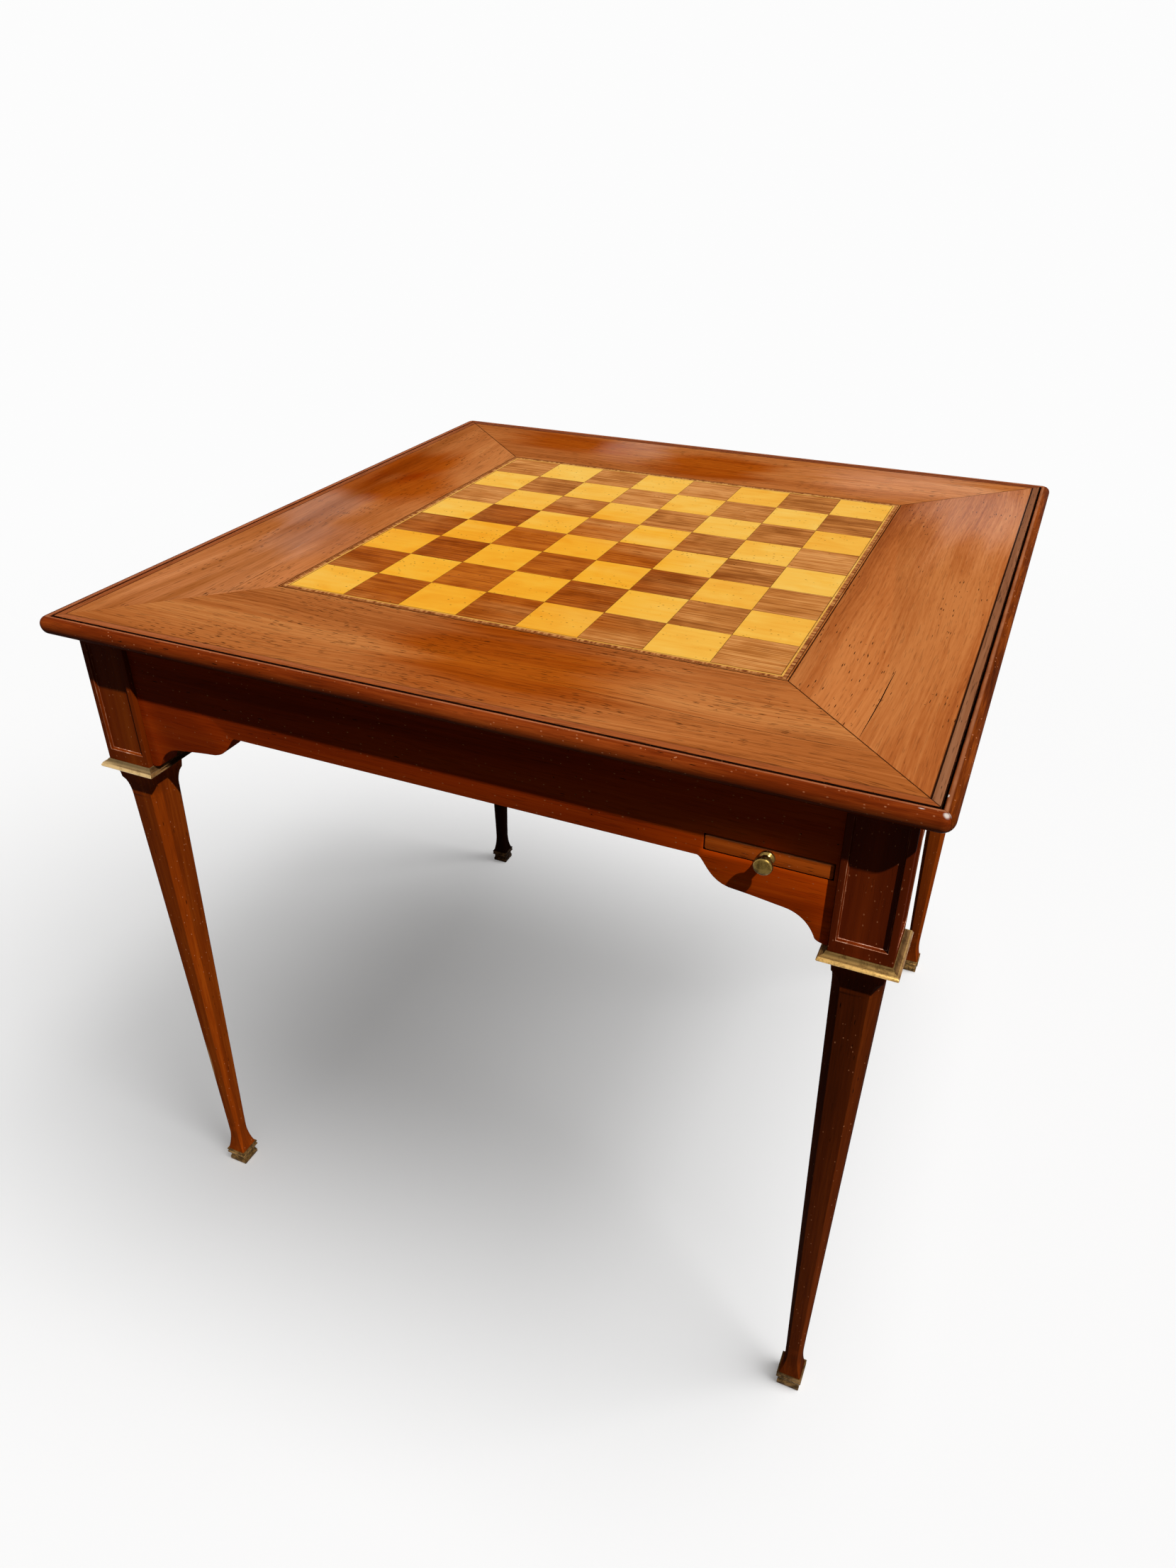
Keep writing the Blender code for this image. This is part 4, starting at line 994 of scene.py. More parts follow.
pale_squares = finished(
    "pale_squares", squares(0), [pale_veneer], "lift_off_top", ["chequer_veneer"])
dark_squares = finished(
    "dark_squares", squares(1), [walnut_veneer], "lift_off_top", ["chequer_veneer"])
print("squares:", len(pale_squares.data.polygons), "and", len(dark_squares.data.polygons), "faces")

# %% [markdown]
# ## The border boards
#
# Four wide boards meet in mitres round the chequerboard. Old boards shrink, and three cracks have opened
# along their grain. The CAD boards have the right form, so each is copied, its arrises are eased by a
# hair, and the cracks are cut as tapering slots, because a real gap stays dark from every side. The walls
# of the cracks are lined with a dark finish of dirt and painted shade.

# %% A crack as a sliver to cut with
crack_depth = 0.0012
board_arris = 0.0003


def crack(points, width):
    """A cutter along a line of (x, y) points, widest in its middle and fine at both ends."""
    form = bmesh.new()
    crack_floor = top_surface - crack_depth
    count = len(points) - 1
    sides = []
    for hand in (-1, 1):
        row = []
        for index, (x, y) in enumerate(points):
            lead = Vector(points[min(index + 1, count)]) - Vector(points[max(index - 1, 0)])
            normal = Vector((-lead.y, lead.x)).normalized()
            half = width / 2 * math.sin(math.pi * (index + 0.15) / (count + 0.3)) ** 0.6 * hand
            row.append(form.verts.new((x + normal.x * half, y + normal.y * half, crack_floor)))
        sides.append(row)
    face = form.faces.new(sides[0] + sides[1][::-1])
    pushed(form, [face], (0, 0, crack_depth + overrun))
    return form


cracks = {
    "right": [(((0.3259, -0.196), (0.3251, -0.221), (0.3246, -0.252), (0.3233, -0.286),
                (0.3218, -0.319)), 0.0009)],
    "front": [(((0.040, -0.3290), (0.095, -0.3318), (0.153, -0.3345), (0.229, -0.3398),
                (0.285, -0.3390), (0.329, -0.3372)), 0.0005)],
    "left": [(((-0.2852, -0.196), (-0.2856, -0.232), (-0.2850, -0.277)), 0.0006)],
    "back": []}
print("cracks:", {side: len(lines) for side, lines in cracks.items()})

# %% The boards
boards = []
for turns, side in enumerate(side_names):
    node = "border_" + side
    form = merged_copy(node)
    eased(form, sharp_edges(form, in_surface), board_arris)
    for points, width in cracks[side]:
        form = carved(form, crack(points, width), 1)
    boards.append(finished(
        "board_" + side, form, [board_finishes[turns], dirt_and_shade_finish], "lift_off_top", [node]))
dirt_and_shade = [sum(face.material_index == 1 for face in piece.data.polygons) for piece in boards]
print("boards:", [piece.name for piece in boards], "faces inside cracks:", dirt_and_shade)

# %% [markdown]
# ## The edge moulding
#
# A moulding with a flat band, a thin quirk and a roll runs round the top. The band meets in sharp
# mitres, while the roll has been worn round at the corners. So the band is a strip cut off on two
# diagonal planes, and the roll is a section that is pulled along the side and spun an eighth of a turn
# at each end.

# %% Sections of the moulding
corner_radius = 0.010
quirk_floor = top_surface - 0.0030
roll_radius = 0.007
roll_axis = top_half - roll_radius
roll_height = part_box("edge_moulding_front")[1].z - roll_radius
tongue_middle = (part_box("board_core")[1].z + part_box("board_core")[0].z) / 2
groove_half = 0.0018
band_arris = 0.0004
groove_end = seam_outer + 0.0045

band_section = [
    (seam_outer, top_surface), (quirk_line, top_surface), (quirk_line, quirk_floor),
    (quirk_line, top_underside), (seam_outer, top_underside), (seam_outer, tongue_middle - groove_half),
    (groove_end, tongue_middle - groove_half), (groove_end, tongue_middle + groove_half),
    (seam_outer, tongue_middle + groove_half)]
roll_inner = quirk_line + hair / 4
roll_section = [(roll_inner, top_underside), (roll_inner, quirk_floor)]
roll_section += [(quirk_line + 0.0008, quirk_floor - 0.0003), (quirk_line + 0.0019, quirk_floor + 0.0004)]
roll_section += arc((roll_axis, roll_height), roll_radius, roll_radius, 115, 0, 11)
roll_section += arc((roll_axis, roll_height), roll_radius, roll_height - top_underside, 0, -90, 9)[1:]
print("roll section:", len(roll_section), "points")

# %% A section loop, and two ways to run it
def section_loop(form, section, x):
    verts = [form.verts.new((x, -distance, height)) for distance, height in section]
    edges = [form.edges.new(pair) for pair in zip(verts, verts[1:] + verts[:1])]
    return verts, edges


def pulled(form, edges, distance):
    grown = bmesh.ops.extrude_edge_only(form, edges=edges)["geom"]
    verts = [item for item in grown if isinstance(item, bmesh.types.BMVert)]
    bmesh.ops.translate(form, verts=verts, vec=(distance, 0, 0))
    last = set(verts)
    return verts, [item for item in grown if isinstance(item, bmesh.types.BMEdge) and set(item.verts) <= last]


def roll_run():
    form = bmesh.new()
    pivot = top_half - corner_radius
    run_half = pivot - hair / 2
    verts, edges = section_loop(form, roll_section, run_half)
    far_verts, far_edges = pulled(form, edges, -2 * run_half)
    for side, start_verts, start_edges in ((1, verts, edges), (-1, far_verts, far_edges)):
        bmesh.ops.spin(
            form, geom=start_verts + start_edges, cent=(side * run_half, -pivot, 0), axis=(0, 0, 1),
            angle=side * eighth_turn, steps=6)
    return capped(form)


# %% The band on its mitres, and the dirt and painted shade in the quirk
# The quirk and the flank of the roll beside it are painted dark, with dirt and painted shade.
def quirk_dirt_and_shade(form):
    """Give the faces inside the quirk their own finish."""
    low = (quirk_line - weld, quirk_floor - 0.001)
    high = (quirk_line + 0.0023, roll_height + 0.0066)
    for face in form.faces:
        middle = face.calc_center_median()
        if low[0] < -middle.y < high[0] and low[1] < middle.z < high[1]:
            face.material_index = 2


def band_run():
    form = bmesh.new()
    edges = section_loop(form, band_section, top_half)[1]
    pulled(form, edges, -2 * top_half)
    capped(form)
    for side in (-1, 1):
        everything = form.verts[:] + form.edges[:] + form.faces[:]
        bmesh.ops.bisect_plane(
            form, geom=everything, plane_co=(-side * hair / 2, 0, 0), plane_no=(side, 1, 0), clear_outer=True)
        capped(form)
    return eased(form, sharp_edges(form, in_surface), band_arris)


# %% The four mouldings
def joined(first, second, second_material):
    """Both shells in one bmesh, with the second shell's faces in another material."""
    for face in second.faces:
        face.material_index = second_material
    mesh = bpy.data.meshes.new("joining")
    second.to_mesh(mesh)
    second.free()
    first.from_mesh(mesh)
    bpy.data.meshes.remove(mesh)
    return first


moulding_form = joined(roll_run(), band_run(), 1)
quirk_dirt_and_shade(moulding_form)
for turns, side in enumerate(side_names):
    finished(
        "edge_roll_" + side, turned_to(moulding_form, turns),
        [roll_finish[side], band_finish[side], dirt_and_shade_finish], "lift_off_top", ["edge_moulding_" + side])
moulding_form.free()
print("mouldings on", len(side_names), "sides")

# %% [markdown]
# ## The legs
#
# A leg is one stick of wood: a square block with a sunk panel on its two outer faces, a hollow neck, an
# eight-sided taper whose chamfers start in a rounded lamb's tongue, and an ankle that spreads into the
# shoe. The block is a cube with inset faces. The shaft is one eight-sided face, pushed down again and
# again and reshaped at each stop. Each push leaves the old face behind inside the stick, so that face is
# deleted, and what stays is one closed skin. The chamfers and the block have finishes of their own,
# because they catch the light and the polish in another way than the flats.

# %% The block
block_width = 0.050
panel_width = 0.036
panel_top_margin = 0.013
panel_bottom_margin = 0.011
panel_steps = ((0.0005, -0.0005, 1), (0.0004, -0.0001, 0), (0.0007, -0.0019, 0), (0.0005, -0.0005, 1))
block_arris = 0.0009


def add_block(form):
    """A block with two panels. Each step of a panel is how far it goes in, how deep, and its finish."""
    half = block_width / 2
    corners = set(add_box(form, (-half, -half, leg_block_bottom), (half, half, frame_top)))
    upright = [edge for edge in form.edges
               if edge.verts[0] in corners and abs(edge.verts[0].co.z - edge.verts[1].co.z) > half]
    eased(form, upright, block_arris, 3)
    faces = [face for face in form.faces
             if min(face.normal.x, face.normal.y) < -0.99 and face.calc_center_median().z > leg_block_bottom]
    for face in faces:
        spread = max(vert.co.x if abs(face.normal.y) > 0.9 else vert.co.y for vert in face.verts)
        bmesh.ops.inset_individual(form, faces=[face], thickness=spread - panel_width / 2, depth=0)
        for vert in face.verts:
            top = vert.co.z > (leg_block_bottom + frame_top) / 2
            vert.co.z = frame_top - panel_top_margin if top else leg_block_bottom + panel_bottom_margin
        for thickness, depth, finish_number in panel_steps:
            ring = bmesh.ops.inset_individual(form, faces=[face], thickness=thickness, depth=depth)["faces"]
            for strip in ring:
                strip.material_index = finish_number
    for face in form.faces:
        if face.material_index == 0 and face.calc_center_median().z > leg_block_bottom:
            face.material_index = 2


leg_block_bottom = block_low + hair
print("block from", round(leg_block_bottom, 4), "to", round(frame_top, 4))

# %% The sections of the shaft
neck_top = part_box("collar_front_left")[0].z
neck_height = 0.034
seat_width = 0.044
seat_chamfer = 0.0008
taper_width = 0.0392
taper_chamfer = 0.0082
tongue_start = 0.42
ankle = 0.050
above_ankle = (ankle + 0.012, 0.0172, 0.0034)
ankle_width = 0.0168
ankle_chamfer = 0.0033
foot_width = 0.0226
stub_width = 0.0164
taper_arris = 0.0005
foot_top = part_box("shoe_front_left")[1].z + hair
stub_bottom = 0.0038


def shaft_rows():
    """Height, width and chamfer of each section, from the collar seat down to the stub in the shoe."""
    rows = [(leg_block_bottom - weld, seat_width, seat_chamfer), (neck_top, seat_width, seat_chamfer)]
    neck_steps = 12
    for step in range(1, neck_steps + 1):
        share = step / neck_steps
        width = seat_width - (seat_width - taper_width) * (1 - (1 - share) ** 2)
        tongue = max(0.0, (share - tongue_start) / (1 - tongue_start))
        chamfer = seat_chamfer + (taper_chamfer - seat_chamfer) * math.sqrt(1 - (1 - tongue) ** 2)
        rows.append((neck_top - neck_height * share, width, chamfer))
    rows.append(above_ankle)
    ankle_steps = 10
    for step in range(ankle_steps + 1):
        share = step / ankle_steps
        width = ankle_width + (foot_width - ankle_width) * share ** 2.2
        chamfer = ankle_chamfer - (ankle_chamfer - seat_chamfer) * share ** 1.6
        rows.append((ankle - (ankle - foot_top) * share, width, chamfer))
    rows += [(foot_top - weld, stub_width, seat_chamfer), (stub_bottom, stub_width, seat_chamfer)]
    return rows


print("sections of the shaft:", len(shaft_rows()))

# %% The shaft, pushed down from section to section
def reshape(verts, height, width, chamfer):
    """Move the eight corners of a section to their new places, whatever order they are in."""
    half = width / 2
    flat = half - chamfer
    for vert in verts:
        x, y = (half, flat) if abs(vert.co.x) > abs(vert.co.y) else (flat, half)
        vert.co = (math.copysign(x, vert.co.x), math.copysign(y, vert.co.y), height)


def shaft():
    """The stick below the block. Only the first face stays, as its upper end."""
    form = bmesh.new()
    turn = Matrix.Rotation(math.pi / 8, 4, "Z")
    rows = shaft_rows()
    bmesh.ops.create_circle(form, cap_ends=True, segments=8, radius=1, matrix=turn)
    face = form.faces[:][0]
    reshape(face.verts, *rows[0])
    for number, row in enumerate(rows[1:]):
        grown = bmesh.ops.extrude_face_region(form, geom=[face])["geom"]
        if number > 0:
            bmesh.ops.delete(form, geom=[face], context="FACES_ONLY")
        face = [item for item in grown if isinstance(item, bmesh.types.BMFace)][0]
        reshape(face.verts, *row)
    arrises = [edge for edge in form.edges if abs(edge.verts[0].co.z - edge.verts[1].co.z) > 2 * ankle]
    return eased(form, arrises, taper_arris)


# %% The four legs
leg_form = shaft()
leg_form.normal_update()
for face in leg_form.faces:
    on_chamfer = abs(abs(face.normal.x) - abs(face.normal.y)) < 0.4 and abs(face.normal.z) < 0.9
    face.material_index = 3 if on_chamfer else 0
add_block(leg_form)
bmesh.ops.translate(leg_form, verts=leg_form.verts, vec=(leg_axis.x, leg_axis.y, 0))
for turns, corner in enumerate(corner_names):
    finishes = [leg_finish[corner], bevel_wear_and_highlight, block_finish[corner], chamfer_finish[corner]]
    finished(
        "turned_leg_" + corner, turned_to(leg_form, turns), finishes, "table_frame", ["leg_" + corner],
        24)
print("leg faces:", len(leg_form.faces))
leg_form.free()

# %% [markdown]
# ## Collars and shoes
#
# Each leg wears a square brass collar under its block and a square brass shoe at its foot. A square hoop
# is a spin of only four steps: a section set on the diagonal is carried round to the other corners. The
# mitred corners are then eased, as a file would ease them.

# %% A square hoop by a spin of four steps
def square_hoop(section):
    form = bmesh.new()
    verts = [form.verts.new((reach, reach, height)) for reach, height in section]
    edges = [form.edges.new(pair) for pair in zip(verts, verts[1:] + verts[:1])]
    bmesh.ops.spin(
        form, geom=verts + edges, cent=(0, 0, 0), axis=(0, 0, 1), angle=full_turn, steps=4, use_merge=True)
    bmesh.ops.remove_doubles(form, verts=form.verts, dist=weld)
    corners = [edge for edge in form.edges
               if all(abs(abs(vert.co.x) - abs(vert.co.y)) < weld for vert in edge.verts)
               and min(abs(vert.co.x) for vert in edge.verts) > section[0][0] + weld]
    return eased(form, corners, hoop_arris)


hoop_arris = 0.0005
collar_top = block_low
collar_bottom = neck_top
collar_inner = 0.0223
collar_outer = block_width / 2 + 0.0065
edge_round = 0.0019
hollow_start = (0.0264, collar_top - 0.0010)
hollow_reach = 0.0046
hollow_drop = 0.0024
collar_section = [(collar_inner, collar_bottom), (collar_inner, collar_top), (0.0256, collar_top)]
collar_section += [(0.0262, collar_top - 0.0004), hollow_start]
collar_section += arc(
    (hollow_start[0] + hollow_reach, hollow_start[1]), hollow_reach, hollow_drop, 180, 262, 6)[1:]
collar_section += arc(
    (collar_outer - edge_round, collar_bottom + edge_round), edge_round, edge_round, 70, -90, 8)
collar_form = square_hoop(collar_section)
print("collar section:", len(collar_section), "points")

# %% The shoe
shoe_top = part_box("shoe_front_left")[1].z
shoe_heights = [
    (0.0128, 1.000), (0.0128, 0.900), (0.0121, 0.865), (0.0120, 0.835), (0.0121, 0.800), (0.0128, 0.770),
    (0.0129, 0.720), (0.0127, 0.670), (0.0112, 0.610), (0.0104, 0.560), (0.0103, 0.480), (0.0104, 0.390),
    (0.0109, 0.310), (0.0115, 0.240), (0.0115, 0.050), (0.0111, 0.012), (0.0107, 0.000)]
socket_reach = 0.0085
sole_hole = 0.0040
sole_thickness = 0.0035
shoe_section = [(socket_reach, shoe_top)] + [(reach, shoe_top * share) for reach, share in shoe_heights]
shoe_section += [(sole_hole, 0.0), (sole_hole, sole_thickness), (socket_reach, sole_thickness)]
shoe_form = square_hoop(shoe_section)
print("shoe section:", len(shoe_section), "points")


def shaded_sides(form):
    """Give the faces that look left or right the second finish, a darker brass that is painted shade."""
    form.normal_update()
    for face in form.faces:
        face.material_index = int(abs(face.normal.x) > abs(face.normal.y) + 0.2)
    return form


for turns, corner in enumerate(corner_names):
    for label, form, node, materials in (
            ("brass_collar_", collar_form, "collar_", [collar_brass[corner], shaded_side_brass]),
            ("brass_shoe_", shoe_form, "shoe_", [foot_brass[corner], foot_brass[corner]])):
        placed = form.copy()
        bmesh.ops.translate(placed, verts=placed.verts, vec=(leg_axis.x, leg_axis.y, 0))
        placed_form = shaded_sides(turned_to(placed, turns))
        finished(label + corner, placed_form, materials, "table_frame", [node + corner], 40)
        placed.free()
print("collar and shoe faces:", len(collar_form.faces), len(shoe_form.faces))
collar_form.free()
shoe_form.free()

# %% [markdown]
# ## The aprons
#
# Each apron is a board with a shaped bracket at both ends. Its outline is drawn with four Bezier curves
# a side, filled as one face and pushed back by the board's thickness. The front and back aprons also
# have a slot for a candle slide, cut through with a Boolean, and only then are the arrises eased, so
# that the rim of the slot is eased with them. The walls of the slot take the dark finish, as painted shade.

# %% The outline
apron_bottom = top_surface - 0.098
bracket_bottom = leg_block_bottom
bracket_length = 0.108
apron_end = 0.3293
apron_thickness = 0.021
apron_arris = 0.0006
bracket_curves = (
    ((0.00, 0.00), (0.06, 0.03), (0.09, 0.43), (0.30, 0.44)),
    ((0.30, 0.44), (0.42, 0.46), (0.54, 0.50), (0.66, 0.53)),
    ((0.66, 0.53), (0.78, 0.56), (0.86, 0.72), (0.90, 0.93)),
    ((0.90, 0.93), (0.92, 0.98), (0.96, 0.99), (1.00, 1.00)))


def apron_edge():
    drop = apron_bottom - bracket_bottom
    start = apron_end - bracket_length
    right = []
    for shares in bracket_curves:
        knots = [Vector((start + x * bracket_length, apron_bottom - z * drop, 0)) for x, z in shares]
        right += interpolate_bezier(*knots, 12)[1 if right else 0:]
    return [(-point.x, point.y) for point in reversed(right)] + [(point.x, point.y) for point in right]


print("points along the lower edge:", len(apron_edge()))

# %% An apron, with or without its slot
def apron(slot_low=None, slot_high=None):
    form = bmesh.new()
    outline = [(-apron_end, frame_top)] + apron_edge() + [(apron_end, frame_top)]
    face = form.faces.new([form.verts.new((x, apron_front_face, z)) for x, z in outline])
    pushed(form, [face], (0, apron_thickness, 0))
    if slot_low:
        cutter = bmesh.new()
        add_box(cutter, slot_low, slot_high)
        # The slot walls take the dark finish, as painted shade.
        form = carved(form, cutter, 1)
    bmesh.ops.recalc_face_normals(form, faces=form.faces)
    front = sharp_edges(form, lambda edge: max(vert.co.y for vert in edge.verts) < apron_front_face + weld
                        and max(vert.co.z for vert in edge.verts) < frame_top - weld)
    return eased(form, front, apron_arris)


# %% The four aprons
facing_low, facing_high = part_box("front_slide_facing")
slot_gap = 0.0005
slot_low = (facing_low.x - slot_gap, apron_front_face - overrun, facing_low.z - slot_gap)
slot_high = (facing_high.x + slot_gap, apron_front_face + apron_thickness + overrun, facing_high.z + slot_gap)
apron_forms = (apron(slot_low, slot_high), apron())
for turns, side in enumerate(side_names):
    finished(
        "shaped_apron_" + side, turned_to(apron_forms[turns % 2], turns),
        [frame_finish[grain_of_side[turns]], dirt_and_shade_finish], "table_frame", ["apron_" + side])
print("apron faces:", [len(form.faces) for form in apron_forms])
for form in apron_forms:
    form.free()

# %% [markdown]
# ## The candle slides
#
# A slide shows as a narrow strip with a turned brass knob. The strip is a box with rounded corners and a
# softy eased front. The knob is a profile spun about its own axis: a flange, a slim neck and a domed
# head, whose face is painted darker than its rim, as a painted dark reflection.

# %% The strip and its knob
strip_corner = 0.0022
strip_arris = 0.0009
knob_rim = 0.0150
knob_profile = [
    (0, 0.006), (0.002, 0.006), (0.002, -hair), (0.0058, -hair), (0.0062, -0.0008), (0.0062, -0.0022),
    (0.0058, -0.0029), (0.0046, -0.0038), (0.0037, -0.0056), (0.0037, -0.0080), (0.0047, -0.0093),
    (0.0064, -0.0100), (0.0075, -0.0108), (0.00775, -0.0118), (0.00775, -0.0129), (0.0074, -0.0141),
    (0.0066, -0.0150), (0.0052, -0.0157), (0.0034, -0.0161), (0.0, -0.0163)]


def slide_strip():
    form = bmesh.new()
    add_box(form, facing_low, facing_high)
    deep = [edge for edge in form.edges if abs(edge.verts[0].co.y - edge.verts[1].co.y) > overrun]
    eased(form, deep, strip_corner, 5)
    front = [edge for edge in form.edges if max(vert.co.y for vert in edge.verts) < facing_low.y + weld]
    return eased(form, front, strip_arris, 3)


def knob():
    """A turned knob. The profile is each ring's radius and its distance from the strip's face."""
    front = facing_low.y
    middle = (facing_low + facing_high) / 2
    form = bmesh.new()
    line = [form.verts.new((middle.x + radius, front + depth, middle.z)) for radius, depth in knob_profile]
    edges = [form.edges.new(pair) for pair in zip(line, line[1:])]
    bmesh.ops.spin(
        form, geom=line + edges, cent=(middle.x, 0, middle.z), axis=(0, 1, 0), angle=full_turn, steps=48,
        use_merge=True)
    bmesh.ops.remove_doubles(form, verts=form.verts, dist=weld)
    for face in form.faces:
        # The face of the knob takes the darker brass, a painted dark reflection.
        face.material_index = int(face.calc_center_median().y < front - knob_rim)
    return form


for label, form, node, materials, slot_name, sharp in (
        ("slide_strip", slide_strip(), "slide_facing", [slide_finish], "frame_wood", 32),
        ("brass_knob", knob(), "slide_knob", [knob_brass, knob_face_dark_reflection], "brass", 50)):
    for side, turns in (("front", 0), ("back", 2)):
        finished(
            f"{side}_{label}", turned_to(form, turns), materials, side + "_slide", [f"{side}_{node}"],
            sharp)
    form.free()
print("slides dressed")

# %% [markdown]
# ## The baize
#
# The underside of the lift-off top is lined with baize, so that it can be laid on a table or turned
# over for cards. It is glued down, so it needs no drape: a fine grid with a faint unevenness in the nap
# does it.

# %% The cloth
cloth_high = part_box("baize")[1]
cloth_margin = 0.0004
cloth_half = cloth_high.x - cloth_margin
cloth_thickness = 0.0009
nap_swell = 0.00012


def cloth_sheet():
    form = bmesh.new()
    upper = cloth_high.z - cloth_margin / 4
    bmesh.ops.create_grid(
        form, x_segments=48, y_segments=48, size=cloth_half, matrix=Matrix.Translation((0, 0, upper)))
    for vert in pushed(form, list(form.faces), (0, 0, -cloth_thickness), keep=True):
        x, y = vert.co.x, vert.co.y
        swell = math.sin(x * 61 + y * 17) * math.sin(y * 53 - x * 23)
        vert.co.z = upper - cloth_thickness - swell * nap_swell
    return form


baize = finished("baize_lining", cloth_sheet(), [baize_finish], "lift_off_top", ["baize"])

# %% [markdown]
# ## Finishes for the CAD solids that stay
#
# The well, the rails, the runner trays, the slide boards, the pins, the strings and the screws have the
# right shape already. Their materials are swapped for the finishes above, each with its grain along the
# length of the piece.

# %% Which finish goes where
def dress(node, material):
    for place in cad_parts[node].material_slots:
        place.material = material


node_finishes = {
    "light_string": string_finish, "cross_band": banding_finish, "dark_string": dark_string_finish,
    "board_core": inner_finish["x"], "well_floor": inner_finish["x"], "centre_bar": frame_finish["y"]}
for turns, side in enumerate(side_names):
    node_finishes["well_rail_" + side] = frame_finish[grain_of_side[turns]]
    node_finishes["well_rim_" + side] = frame_finish[grain_of_side[turns]]
for side in ("front", "back"):
    node_finishes[side + "_slide_board"] = slide_finish
    node_finishes[side + "_slide_stop"] = inner_finish["x"]
    node_finishes[side + "_runner_tray"] = inner_finish["y"]
    for hand in ("left", "right"):
        node_finishes[f"{side}_tray_screw_{hand}"] = steel
        node_finishes[f"locating_pin_{side}_{hand}"] = inner_finish["y"]
for node, material in node_finishes.items():
    dress(node, material)
point_finishes = {
    "well_ground": ground_finish, "light_veneer": point_finish, "dark_veneer": walnut_veneer}
for half in ("left", "right"):
    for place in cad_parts["well_veneer_" + half].material_slots:
        place.material = point_finishes[place.material.name.split(".")[0]]
print("CAD nodes dressed:", len(node_finishes) + 2)

# %% [markdown]
# ## Camera
#
# The camera stands where the photographer stood: a little to the right of the table, at a standing
# person's chest height, and close, which is why the near corner looks so large. Its place was solved
# from the corners of the squares.

# %% The camera
camera_place = Vector((0.4224, -1.0416, 1.1379))
looking = Vector((-0.3420, 0.7789, -0.5257)).normalized()
rightward = Vector((0.9150, 0.4035, 0.0026))
rightward = (rightward - looking * rightward.dot(looking)).normalized()
upward = rightward.cross(looking)
turn = Matrix((rightward, upward, -looking)).transposed()
camera = bpy.data.objects.new("camera", bpy.data.cameras.new("camera"))
camera.matrix_world = Matrix.Translation(camera_place) @ turn.to_4x4()
camera.data.sensor_width = 36
camera.data.lens = 25.222
camera.data.clip_start = 0.01
camera.data.clip_end = 60
bpy.context.scene.collection.objects.link(camera)
bpy.context.scene.camera = camera
print("lens", camera.data.lens)

# %% [markdown]
# ## Light, floor and background
#
# The photograph has one firm light from the front right, and a pale floor with only a soft shadow. One
# lamp can't do both, so the firm lamp and a weak one from behind are linked to the table alone, and two
# very wide ones to the floor alone. The floor and the world show as white to the camera and in
# reflections, but light the table only faintly, so that the wood keeps its depth.

# %% Four lamps and what each of them lights
def lamp(name, direction, strength, spread_degrees, receivers, mirrored=True):
    data = bpy.data.lights.new(name, "SUN")
    data.energy = strength
    data.angle = math.radians(spread_degrees)
    light = bpy.data.objects.new(name, data)
    light.rotation_mode = "QUATERNION"
    light.rotation_quaternion = Vector(direction).to_track_quat("Z", "Y")
    bpy.context.scene.collection.objects.link(light)
    light.light_linking.receiver_collection = receivers
    light.visible_glossy = mirrored
    return light


table_parts = bpy.data.collections.new("table_parts")
for thing in pieces + list(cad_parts.values()):
    table_parts.objects.link(thing)
floor_parts = bpy.data.collections.new("floor_parts")
lamps = [
    lamp("key", (0.504, -0.319, 0.805), 3.15, 1.0, table_parts),
    lamp("back_fill", (-0.62, 0.74, 0.26), 0.9, 20, table_parts, mirrored=False),
    lamp("floor_low", (0.78, 0.02, 1.0), 1.72, 42, floor_parts),
    lamp("floor_high", (0.22, 0.0, 1.0), 1.50, 36, floor_parts)]
print("lamps:", [light.name for light in lamps])

# %% The floor
backdrop_white = 0.975
floor_lift = 0.21
floor_grey = (0.8, 0.8, 0.8, 1)
bounce_grey = (0.06, 0.06, 0.06, 1)
pure_white = (1, 1, 1, 1)


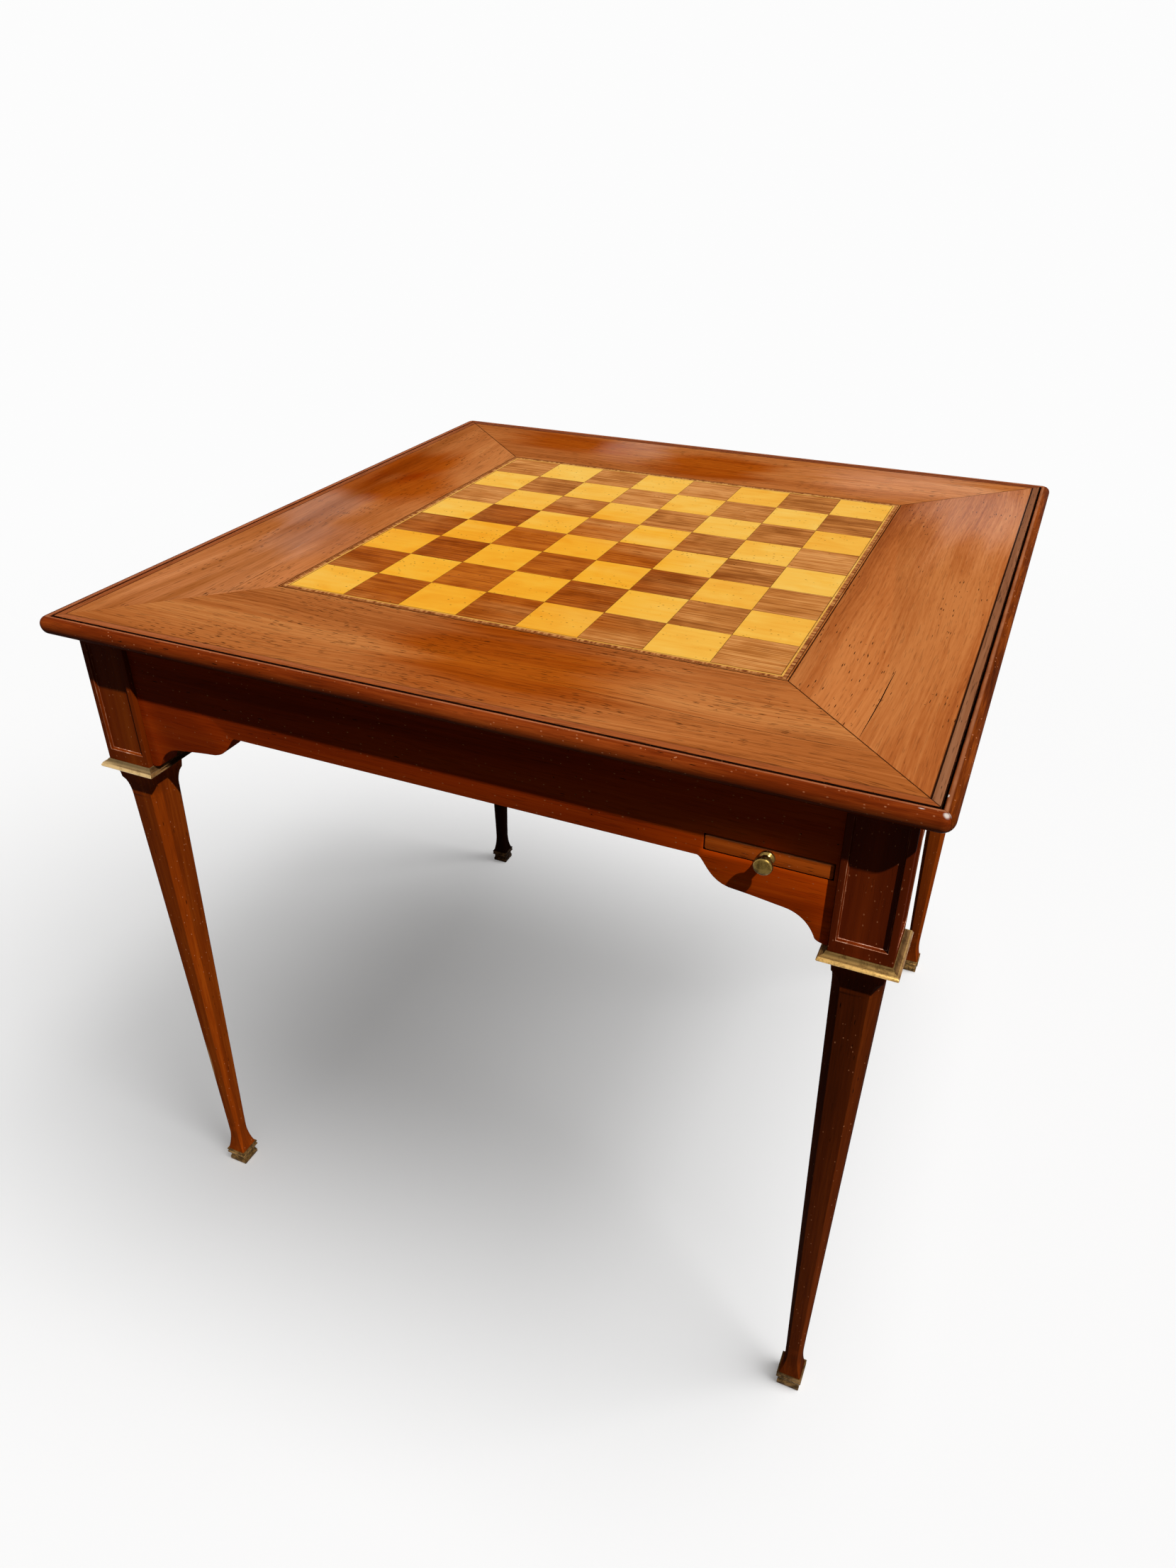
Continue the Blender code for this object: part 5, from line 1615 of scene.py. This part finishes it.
def seen(finish):
    """1 for the camera and for reflections, 0 for light on its way to another surface."""
    path = finish.node("ShaderNodeLightPath")
    outputs = path.socket.node.outputs
    glossy, through = (Wire(finish, outputs[name]) for name in ("Is Glossy Ray", "Is Transmission Ray"))
    return path.maths("MAXIMUM", path, glossy.maths("MAXIMUM", glossy, through))


def floor_material():
    material = bpy.data.materials.new("pale_floor")
    finish = Finish(material)
    place = finish.place()
    away = finish.length(place)
    far = finish.step(away, 1.2, 3.0)
    lit = finish.node("ShaderNodeBsdfDiffuse", None, {"Color": floor_grey})
    lift = finish.node("ShaderNodeEmission", None, {"Color": pure_white, "Strength": floor_lift})
    near = finish.node("ShaderNodeAddShader", None, {0: lit, 1: lift})
    white = finish.node("ShaderNodeEmission", None, {"Color": pure_white, "Strength": backdrop_white})
    shown = finish.node("ShaderNodeMixShader", None, {0: far, 1: near, 2: white})
    dim = finish.node("ShaderNodeBsdfDiffuse", None, {"Color": bounce_grey})
    surface = finish.node("ShaderNodeMixShader", None, {0: seen(finish), 1: dim, 2: shown})
    finish.node("ShaderNodeOutputMaterial", None, {"Surface": surface})
    return material


floor_form = bmesh.new()
bmesh.ops.create_grid(floor_form, x_segments=4, y_segments=4, size=14)
floor_mesh = bpy.data.meshes.new("floor")
floor_form.to_mesh(floor_mesh)
floor_form.free()
floor_mesh.materials.append(floor_material())
floor = bpy.data.objects.new("floor", floor_mesh)
bpy.context.scene.collection.objects.link(floor)
floor_parts.objects.link(floor)
print("floor laid")

# %% The world and the view
world = bpy.data.worlds.new("studio")
bpy.context.scene.world = world
room = Finish(world)
fill = room.node("ShaderNodeBackground", None, {"Color": (1, 0.97, 0.93, 1), "Strength": 0.041})
white = room.node("ShaderNodeBackground", None, {"Color": pure_white, "Strength": backdrop_white})
shown = room.node("ShaderNodeMixShader", None, {0: seen(room), 1: fill, 2: white})
room.node("ShaderNodeOutputWorld", None, {"Surface": shown})
bpy.context.scene.view_settings.view_transform = "Standard"
print("view transform:", bpy.context.scene.view_settings.view_transform)
